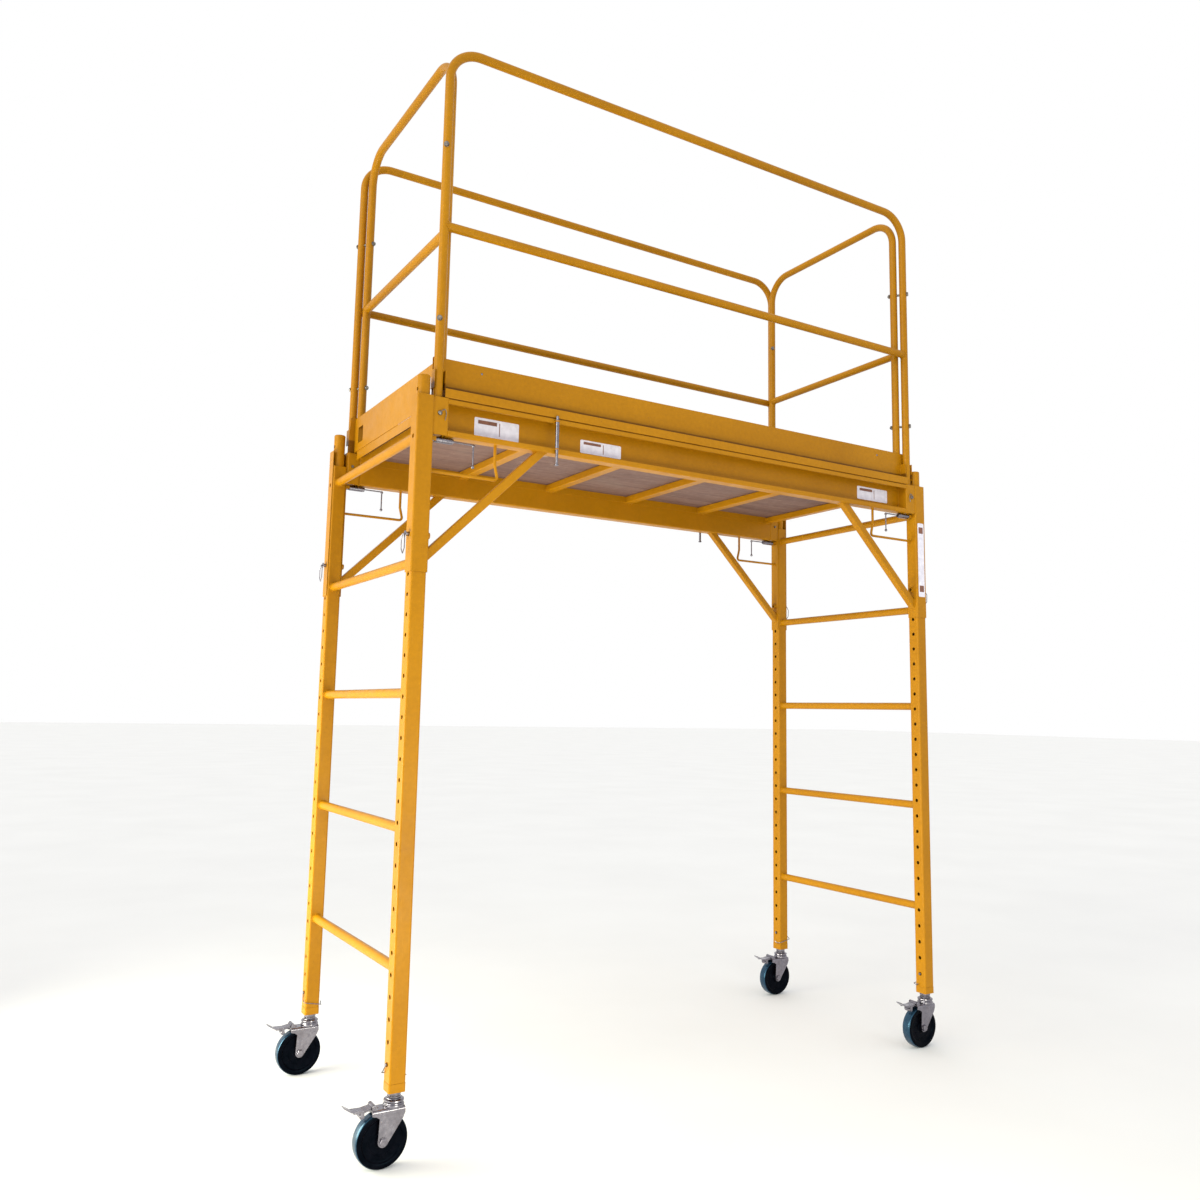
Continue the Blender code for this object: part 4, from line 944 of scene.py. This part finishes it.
def post_pin():
    """A headed pin through socket and post, and the clip on it."""
    head, face = RAIL_OUT - 0.0062, RAIL_OUT - 0.0006
    z = POST_PIN_HEIGHT
    shank = pin((POST_X, face - 0.001, z), (POST_X, 0.024, z), 0.004, 20)
    cap = lathe([(0, 0.0056), (0.0035, 0.0052), (0.0055, 0.0038), (0.0062, 0.002), (0.0062, 0.0003),
                 (0.0058, 0), (0, 0)], ROUND,
                facing((POST_X, face, z), (0, -1, 0)))
    clip = [(POST_X, head, z + 0.002), (POST_X + 0.012, head, z + 0.012), (POST_X + 0.016, head, z),
            (POST_X + 0.013, head, z - 0.018)]
    return [shank, cap, wire(clip, 0.0012, 0.003, 8)]


def rail_bolt(height):
    """A bolt through both posts of a corner: hexagon head, washers, nut and a threaded end."""
    first, second = Vector((POST_X, 0, height)), Vector((END_POST_X, END_POST_Y, height))
    run = (second - first).normalized()
    start, end = first - run * (TUBE_RADIUS + GAP), second + run * (TUBE_RADIUS + GAP)
    return [pin(start, end, 0.004, 16), hexagon(start - run * 0.0006, -run, 0.0125, 0.0048),
            washer(start - run * 0.0008, run, 0.0076),
            washer(end - run * 0.0002, run, 0.0074), hexagon(end + run * 0.0004, run, 0.0122, 0.005),
            threaded(end + run * 0.004, end + run * 0.0078, 0.0036)]


def build_labels():
    """Plain pale plates on the near rail's web and the right sleeve, each with a plain band."""
    web = -HALF_Y + RAIL_IN - RAIL_WALL
    plates = {"a": (-0.6915 + MIDDLE_X, 1.8085, 0.066, 0.0255),
              "b": (-0.3637 + MIDDLE_X, 1.8045, 0.068, 0.019),
              "c": (0.72 + MIDDLE_X, 1.8125, 0.071, 0.022)}
    for key, (x, z, half_x, half_z) in plates.items():
        plate = extruded([rounded(half_x, half_z, 0.004, (x, z))], "XZ", web - 0.0004, web - 0.00002)
        piece(f"label_{key}", [plate], "label", "platform")
        band = extruded([rounded(half_x * 0.42, half_z * 0.2, 0.001,
                                 (x - half_x * 0.42, z + half_z * 0.55))], "XZ", web - 0.00048,
                                 web - 0.0003)
        line = extruded([rounded(0.0012, half_z * 0.72, 0.0006, (x + half_x * 0.12, z))], "XZ",
                        web - 0.00048, web - 0.0003)
        piece(f"label_band_{key}", [band, line], "label_band", "platform")
    face = -HALF_Y - SLEEVE_HALF
    x = CENTRES["right_near"].x
    plate = extruded([rounded(0.015, 0.128, 0.004, (x, 1.6))], "XZ", face - 0.0004, face - 0.00002)
    piece("label_d", [plate], "label", "platform")
    bands = [extruded([rounded(0.0105, 0.011, 0.001, (x, z))], "XZ", face - 0.00048, face - 0.0003)
             for z in (1.703, 1.5)]
    piece("label_band_d", bands, "label_band", "platform")


def build_platform():
    for flank in (-1, 1):
        name = FLANK_NAMES[flank]
        places = [f"left_{name}", f"right_{name}"]
        node = [f"side_frame_{name}"]
        build_rail(flank)
        for part, shapes in (("post_sockets", end_socket()), ("sleeves", sleeve()), ("braces", brace()),
                             ("pin_guards", pin_guard()),
                             ("lock_cheeks", lock_cheeks()), ("pin_bosses", pin_boss())):
            piece(f"{part}_{name}", [at_corner(mesh, place) for place in places for mesh in shapes],
                  "amber_paint", "platform", node)
        piece(f"lock_barrels_{name}",
              [at_corner(mesh, place) for place in places for mesh in lock_barrel()], "zinc", "platform",
              node)
        lock_place = places[0] if flank < 0 else places[1]
        piece(f"deck_lock_lugs_{name}", cornered(deck_lock_lugs(), lock_place), "amber_paint", "platform",
              node)
        piece(f"deck_lock_barrel_{name}", cornered(deck_lock_barrel(), lock_place), "zinc", "platform",
              node)
        build_long_toe_board(flank)
        y = flank * HALF_Y
        reach = HALF_X - POST_X
        build_guard_rail(name, (MIDDLE_X - reach, y, 0), (MIDDLE_X + reach, y, 0), LONG_POST_FOOT)
    for side in (-1, 1):
        build_end_toe_board(side)
        x = MIDDLE_X + side * (HALF_X - END_POST_X)
        y = HALF_Y - END_POST_Y
        build_guard_rail(SIDE_NAMES[side], (x, -y, 0), (x, y, 0), END_POST_FOOT)
    build_tray()
    for place in CORNERS:
        piece(f"socket_pin_{place}", cornered(post_pin(), place), "dark_steel", "platform",
              [f"post_pin_{place}"])
        for row, height in BOLT_HEIGHTS.items():
            replaced = [f"rail_bolt_{place}"] if row == "upper" else []
            piece(f"corner_bolt_{row}_{place}", cornered(rail_bolt(height), place), "dark_steel",
                  "platform", replaced)
    build_labels()


# Locks


def plunger():
    tip = lathe([(0, 0), (0.003, 0.0002), (0.0046, 0.0012), (0.0054, 0.0034), (0.0054, 0.0381),
                 (0.0048, 0.0388), (0, 0.0388)], ROUND,
                facing((UPRIGHT_HALF + GAP, 0, LOCK_HEIGHT), (1, 0, 0)))
    z = LOCK_HEIGHT
    tail = sweep(bent([(0.058, 0, z), (HANDLE_X, 0, z), (HANDLE_X, 0, HANDLE_LOW)], 0.006, 8), 0.0021, 16)
    ball = [(KNOB_RADIUS * sin(k * pi / 10), -KNOB_RADIUS * cos(k * pi / 10)) for k in range(11)]
    knobs = [lathe(ball, 20, Matrix.Translation((HANDLE_X, 0, height)))
             for height in (z - 0.002, HANDLE_LOW - 0.0029)]
    return [tip, tail] + knobs


def height_pin():
    z = PIN_HEIGHT
    shank = pin((-0.033, 0, z), (-UPRIGHT_HALF - GAP, 0, z), 0.0054, ROUND)
    head = lathe([(0, 0.0026), (0.0045, 0.0024), (0.0072, 0.0016), (0.008, 0.0006), (0.008, 0), (0, 0)],
                 ROUND,
                 facing((-0.032, 0, z), (-1, 0, 0)))
    loop = [(-0.0033, 0.000), (-0.012, -0.014), (-0.011, -0.038), (0, -0.051), (0.011, -0.038),
            (0.012, -0.014), (0.0033, 0.000)]
    path = [(-0.0335, -0.003, z)] + [(-0.0376, y, z + dz) for y, dz in loop] + [(-0.0335, 0.003, z)]
    return [shank, head, wire(path, 0.0012, 0.0012, 8)]


def deck_lock():
    x, y = DECK_LOCK_X, DECK_LOCK_Y
    stem = lathe([(0, 1.864), (0.0022, 1.8637), (0.0036, 1.8625), (0.004, 1.8605), (0.004, 1.728),
                  (0, 1.728)], 20,
                 Matrix.Translation((x, y, 0)))
    knob = lathe([(0, 1.73), (0.0046, 1.7298), (0.0058, 1.7288), (0.006, 1.727), (0.0058, 1.7252),
                  (0.0046, 1.7242), (0, 1.724)],
                 ROUND, Matrix.Translation((x, y, 0)))
    return [stem, knob]


# Casters, measured from the swivel axis on the floor


def caster_fork():
    half = FORK_HALF - FORK_SHEET / 2
    line = [(-half, 0.02), (-half, FORK_TOP - FORK_SHEET / 2), (half, FORK_TOP - FORK_SHEET / 2),
            (half, 0.02)]
    channel = extruded([sheet(line, FORK_SHEET, 0.0045)], "YZ", -0.058, 0.022)
    side_view = [(0.03, 0.16), (-0.07, 0.16), (-0.07, 0.1235), (-0.0575, 0.1225), (-0.048, 0.1205),
                 (-0.04, 0.115)]
    side_view += arc((AXLE_X, AXLE_Z), 0.0125, 172, 338, 14) + [(0.0175, 0.11), (0.0205, 0.118),
                                                                (0.0235, 0.123), (0.03, 0.124)]
    fork = cut(channel, [extruded([side_view], "XZ", -0.03, 0.03)], "INTERSECT")
    hole = drill((AXLE_X, 0, AXLE_Z), (0, 1, 0), 0.0062, 20)
    fork = eased(cut(fork, [hole]), 0.0006)
    race = lathe([(0, FORK_TOP - 0.001), (0.025, FORK_TOP - 0.001), (0.0252, 0.1375), (0.0244, 0.1392),
                  (0.023, 0.14), (0.0222, 0.1424),
                  (0.0205, 0.1434), (0.0205, 0.1442), (0.0238, 0.145), (0.0244, 0.1462), (0.024, 0.1486),
                  (0.0222, 0.15),
                  (0.018, 0.1508), (0.0175, 0.1519), (0, 0.1519)], 40)
    shapes = [fork, race]
    for y in (-0.0165, 0.0165):
        ear = [(PEDAL_X - 0.006, FORK_TOP - 0.001),
               (PEDAL_X + 0.009, FORK_TOP - 0.001)] + arc((PEDAL_X, PEDAL_Z), 0.0055, 10, 170, 8)
        shapes.append(eased(extruded([ear], "XZ", y - 0.001, y + 0.001), 0.0003))
    shapes.append(pin((PEDAL_X, -0.0182, PEDAL_Z), (PEDAL_X, 0.0182, PEDAL_Z), 0.0025, 16, 0.0005))
    for x, y in ((-0.041, 0.0), (0.0, 0.0)):
        if x:
            shapes.append(lathe([(0, 0.0018), (0.0024, 0.0016), (0.0042, 0.0004), (0.0044, -0.001),
                                 (0, -0.001)], 20,
                                Matrix.Translation((x, y, FORK_TOP))))
    return shapes


def caster_axle():
    face = FORK_HALF + GAP
    y = Vector((0, 1, 0))
    at = Vector((AXLE_X, 0, AXLE_Z))
    return [pin(at - y * (face + 0.003), at + y * (face + 0.004), 0.0058, 20),
            washer(at - y * (face + 0.0013), y, 0.0105, 0.0058, 0.0012),
            hexagon(at - y * (face + 0.0012), -y, 0.0168, 0.0043),
            washer(at + y * (face + 0.0001), y, 0.0105, 0.0058, 0.0012),
            hexagon(at + y * (face + 0.0012), y, 0.0168, 0.005),
            threaded(at + y * (face + 0.005), at + y * (face + 0.008), 0.0056)]


def caster_wheel():
    """A moulded wheel: crowned tread, round shoulders, a recessed web with a raised ring, and a hub."""
    half = [(0.0066, 0.0172), (0.007, 0.0175), (0.014, 0.0175), (0.015, 0.0168), (0.016, 0.0125),
            (0.0175, 0.0112), (0.019, 0.0108),
            (0.03, 0.0108), (0.031, 0.0116), (0.033, 0.0116), (0.034, 0.0108), (0.045, 0.0108),
            (0.047, 0.0114), (0.0488, 0.0135),
            (0.05, 0.0152), (0.052, 0.0159), (0.056, 0.016), (0.0592, 0.0158), (0.0612, 0.0148),
            (0.0624, 0.0132), (0.063, 0.011),
            (0.0634, 0.007), (WHEEL_RADIUS, 0.0)]
    profile = half + [(r, -h) for r, h in reversed(half[:-1])]
    wheel = lathe(profile, 96, facing((AXLE_X, 0, AXLE_Z), (0, 1, 0)), closed=True)
    for face in wheel.polygons:            # the tread takes the piece's second material, the copy with the painted blue sheen
        face.material_index = int(abs(face.normal.y) < TREAD_SLOPE and face.center.y ** 2 < 0.0152 ** 2
                                  and (face.center.x - AXLE_X) ** 2
                                  + (face.center.z - AXLE_Z) ** 2 > 0.055 ** 2)
    return [wheel]


def brake_pedal():
    """A pressed lever with side flanges and an upturned tread, its pivot tube, and the brake roller."""
    px, pz, width = PEDAL_X, PEDAL_Z, 0.0135
    knuckle = extruded([circle((px, pz), 0.0055), circle((px, pz), 0.0029, 16)], "XZ", -width, width)
    line = [(px - 0.004, pz - 0.0006), (-0.078, 0.1363), (-0.104, 0.1373), (PEDAL_TIP + 0.001, 0.1488)]
    lever = eased(extruded([sheet(line, 0.0023, 0.01)], "XZ", -width + 0.0005, width - 0.0005), 0.0005)
    for vertex in lever.vertices:
        if vertex.co.x < -0.1:
            share = (-0.1 - vertex.co.x) / (-0.1 - PEDAL_TIP)
            vertex.co.y *= 1 - 0.22 * share * share
    shapes = [knuckle, lever]
    for y in (-width + 0.0014, width - 0.0014):
        flange = [(px - 0.006, pz - 0.0014), (-0.078, 0.1355), (-0.103, 0.1365), (-0.1, 0.1328),
                  (-0.078, 0.1312), (-0.06, 0.1345)]
        shapes.append(extruded([flange], "XZ", y - 0.0009, y + 0.0009))
    rx, rz = -0.079, 0.1235
    shapes.append(lathe([(0, -0.012), (0.005, -0.012), (0.006, -0.0108), (0.006, 0.0108), (0.005, 0.012),
                         (0, 0.012)], 28,
                        facing((rx, 0, rz), (0, 1, 0))))
    for y in (-0.0128, 0.0128):
        lug = [(rx - 0.0045, 0.1352), (rx + 0.0045, 0.1352)] + arc((rx, rz), 0.004, 10, -190, 8)
        shapes.append(extruded([lug], "XZ", y - 0.0008, y + 0.0008))
    for i in range(3):
        x = -0.11 - 0.0042 * i
        z = 0.1405 + 0.0021 * i + 0.0016
        shapes.append(sweep([(x, -0.009 + 0.001 * i, z), (x, 0.009 - 0.001 * i, z)], 0.0007, 8))
    return shapes


def build_caster(place):
    shift = Matrix.Translation((CENTRES[place].x, CENTRES[place].y, 0))
    for part, (shapes, finish, body) in CASTER_PARTS.items():
        piece(f"{part}_{place}", [moved(mesh, shift) for mesh in shapes], finish, f"{body}_{place}",
              [f"caster_{part.split('_')[1]}_{place}"])


UPRIGHT = upright()
FRAME_PARTS = {"stub": (coupling_stub(), "amber_paint", "coupling_stub"),
               "stem": (caster_stem(), "zinc", "caster_stem"),
               "stem_pin": (caster_pin(), "zinc", "caster_pin")}
LOCK_PARTS = {"spring_pin": (plunger(), "plunger", "lock_plunger"),
              "pull_pin": (height_pin(), "pin", "height_pin")}
CASTER_PARTS = {"pressed_fork": (caster_fork(), "zinc", "caster"),
                "bolted_axle": (caster_axle(), "zinc", "caster"),
                "moulded_wheel": (caster_wheel(), "black_wheel", "wheel"),
                "foot_pedal": (brake_pedal(), "zinc", "pedal")}
for side in (-1, 1):
    build_end_frame(side)
build_platform()
for place in CORNERS:
    for part, (shapes, body, node) in LOCK_PARTS.items():
        piece(f"{part}_{place}", cornered(shapes, place), "zinc", f"{body}_{place}", [f"{node}_{place}"])
    build_caster(place)
for flank in (-1, 1):
    name = FLANK_NAMES[flank]
    place = "left_near" if flank < 0 else "right_far"
    piece(f"lock_rod_{name}", cornered(deck_lock(), place), "zinc", f"deck_lock_{name}",
          [f"deck_lock_{name}"])

# Floor, light and camera
floor_bm = bmesh.new()
bmesh.ops.create_grid(floor_bm, x_segments=1, y_segments=1, size=60)
floor = bpy.data.objects.new("floor", mesh_of(floor_bm))
floor.data.materials.append(floor_finish())
bpy.context.scene.collection.objects.link(floor)

world = bpy.data.worlds.new("studio")
world.use_nodes = True
world.node_tree.nodes["Background"].inputs["Color"].default_value = (1.0, 1.0, 1.0, 1)
world.node_tree.nodes["Background"].inputs["Strength"].default_value = 1.0
bpy.context.scene.world = world


def sun(name, direction, strength, angle):
    light = bpy.data.lights.new(name, "SUN")
    light.color = (1.0, 1.0, 0.86)
    light.energy = strength
    light.angle = radians(angle)
    item = bpy.data.objects.new(name, light)
    item.rotation_euler = Vector(direction).to_track_quat("-Z", "Y").to_euler()
    bpy.context.scene.collection.objects.link(item)


def area(name, place, target, size, power):
    light = bpy.data.lights.new(name, "AREA")
    light.color = (1.0, 1.0, 0.8)
    light.shape = "DISK"
    light.size = size
    light.energy = power
    item = bpy.data.objects.new(name, light)
    item.location = place
    item.rotation_euler = (Vector(target) - Vector(place)).to_track_quat("-Z", "Y").to_euler()
    item.visible_camera = False
    bpy.context.scene.collection.objects.link(item)


sun("key", (1.0, 0.18, -0.3), 1.35, 40)
area("low_front", (-0.55, -2.3, 0.35), (-0.85, -0.35, 0.45), 1.0, 26)
area("low_side", (-2.2, 0.4, 0.55), (-0.87, -0.2, 0.55), 1.4, 55)

RIGHT = Vector((0.85012964, -0.52627599, 0.0176967))
DOWN = Vector((0.08169818, 0.09862329, -0.99176552))
FORWARD = Vector((0.52019707, 0.84457506, 0.12683837))
lens = bpy.data.cameras.new("view")
lens.lens, lens.sensor_width = 30.668, 36.0
lens.shift_x, lens.shift_y = -0.0065, -0.0152
lens.clip_end = 200
camera = bpy.data.objects.new("view", lens)
turn = Matrix((RIGHT, -DOWN, -FORWARD)).transposed().to_4x4()
camera.matrix_world = Matrix.Translation((-1.793294, -2.778316, 1.05978)) @ turn
bpy.context.scene.collection.objects.link(camera)
bpy.context.scene.camera = camera
bpy.context.scene.view_settings.view_transform = "Standard"
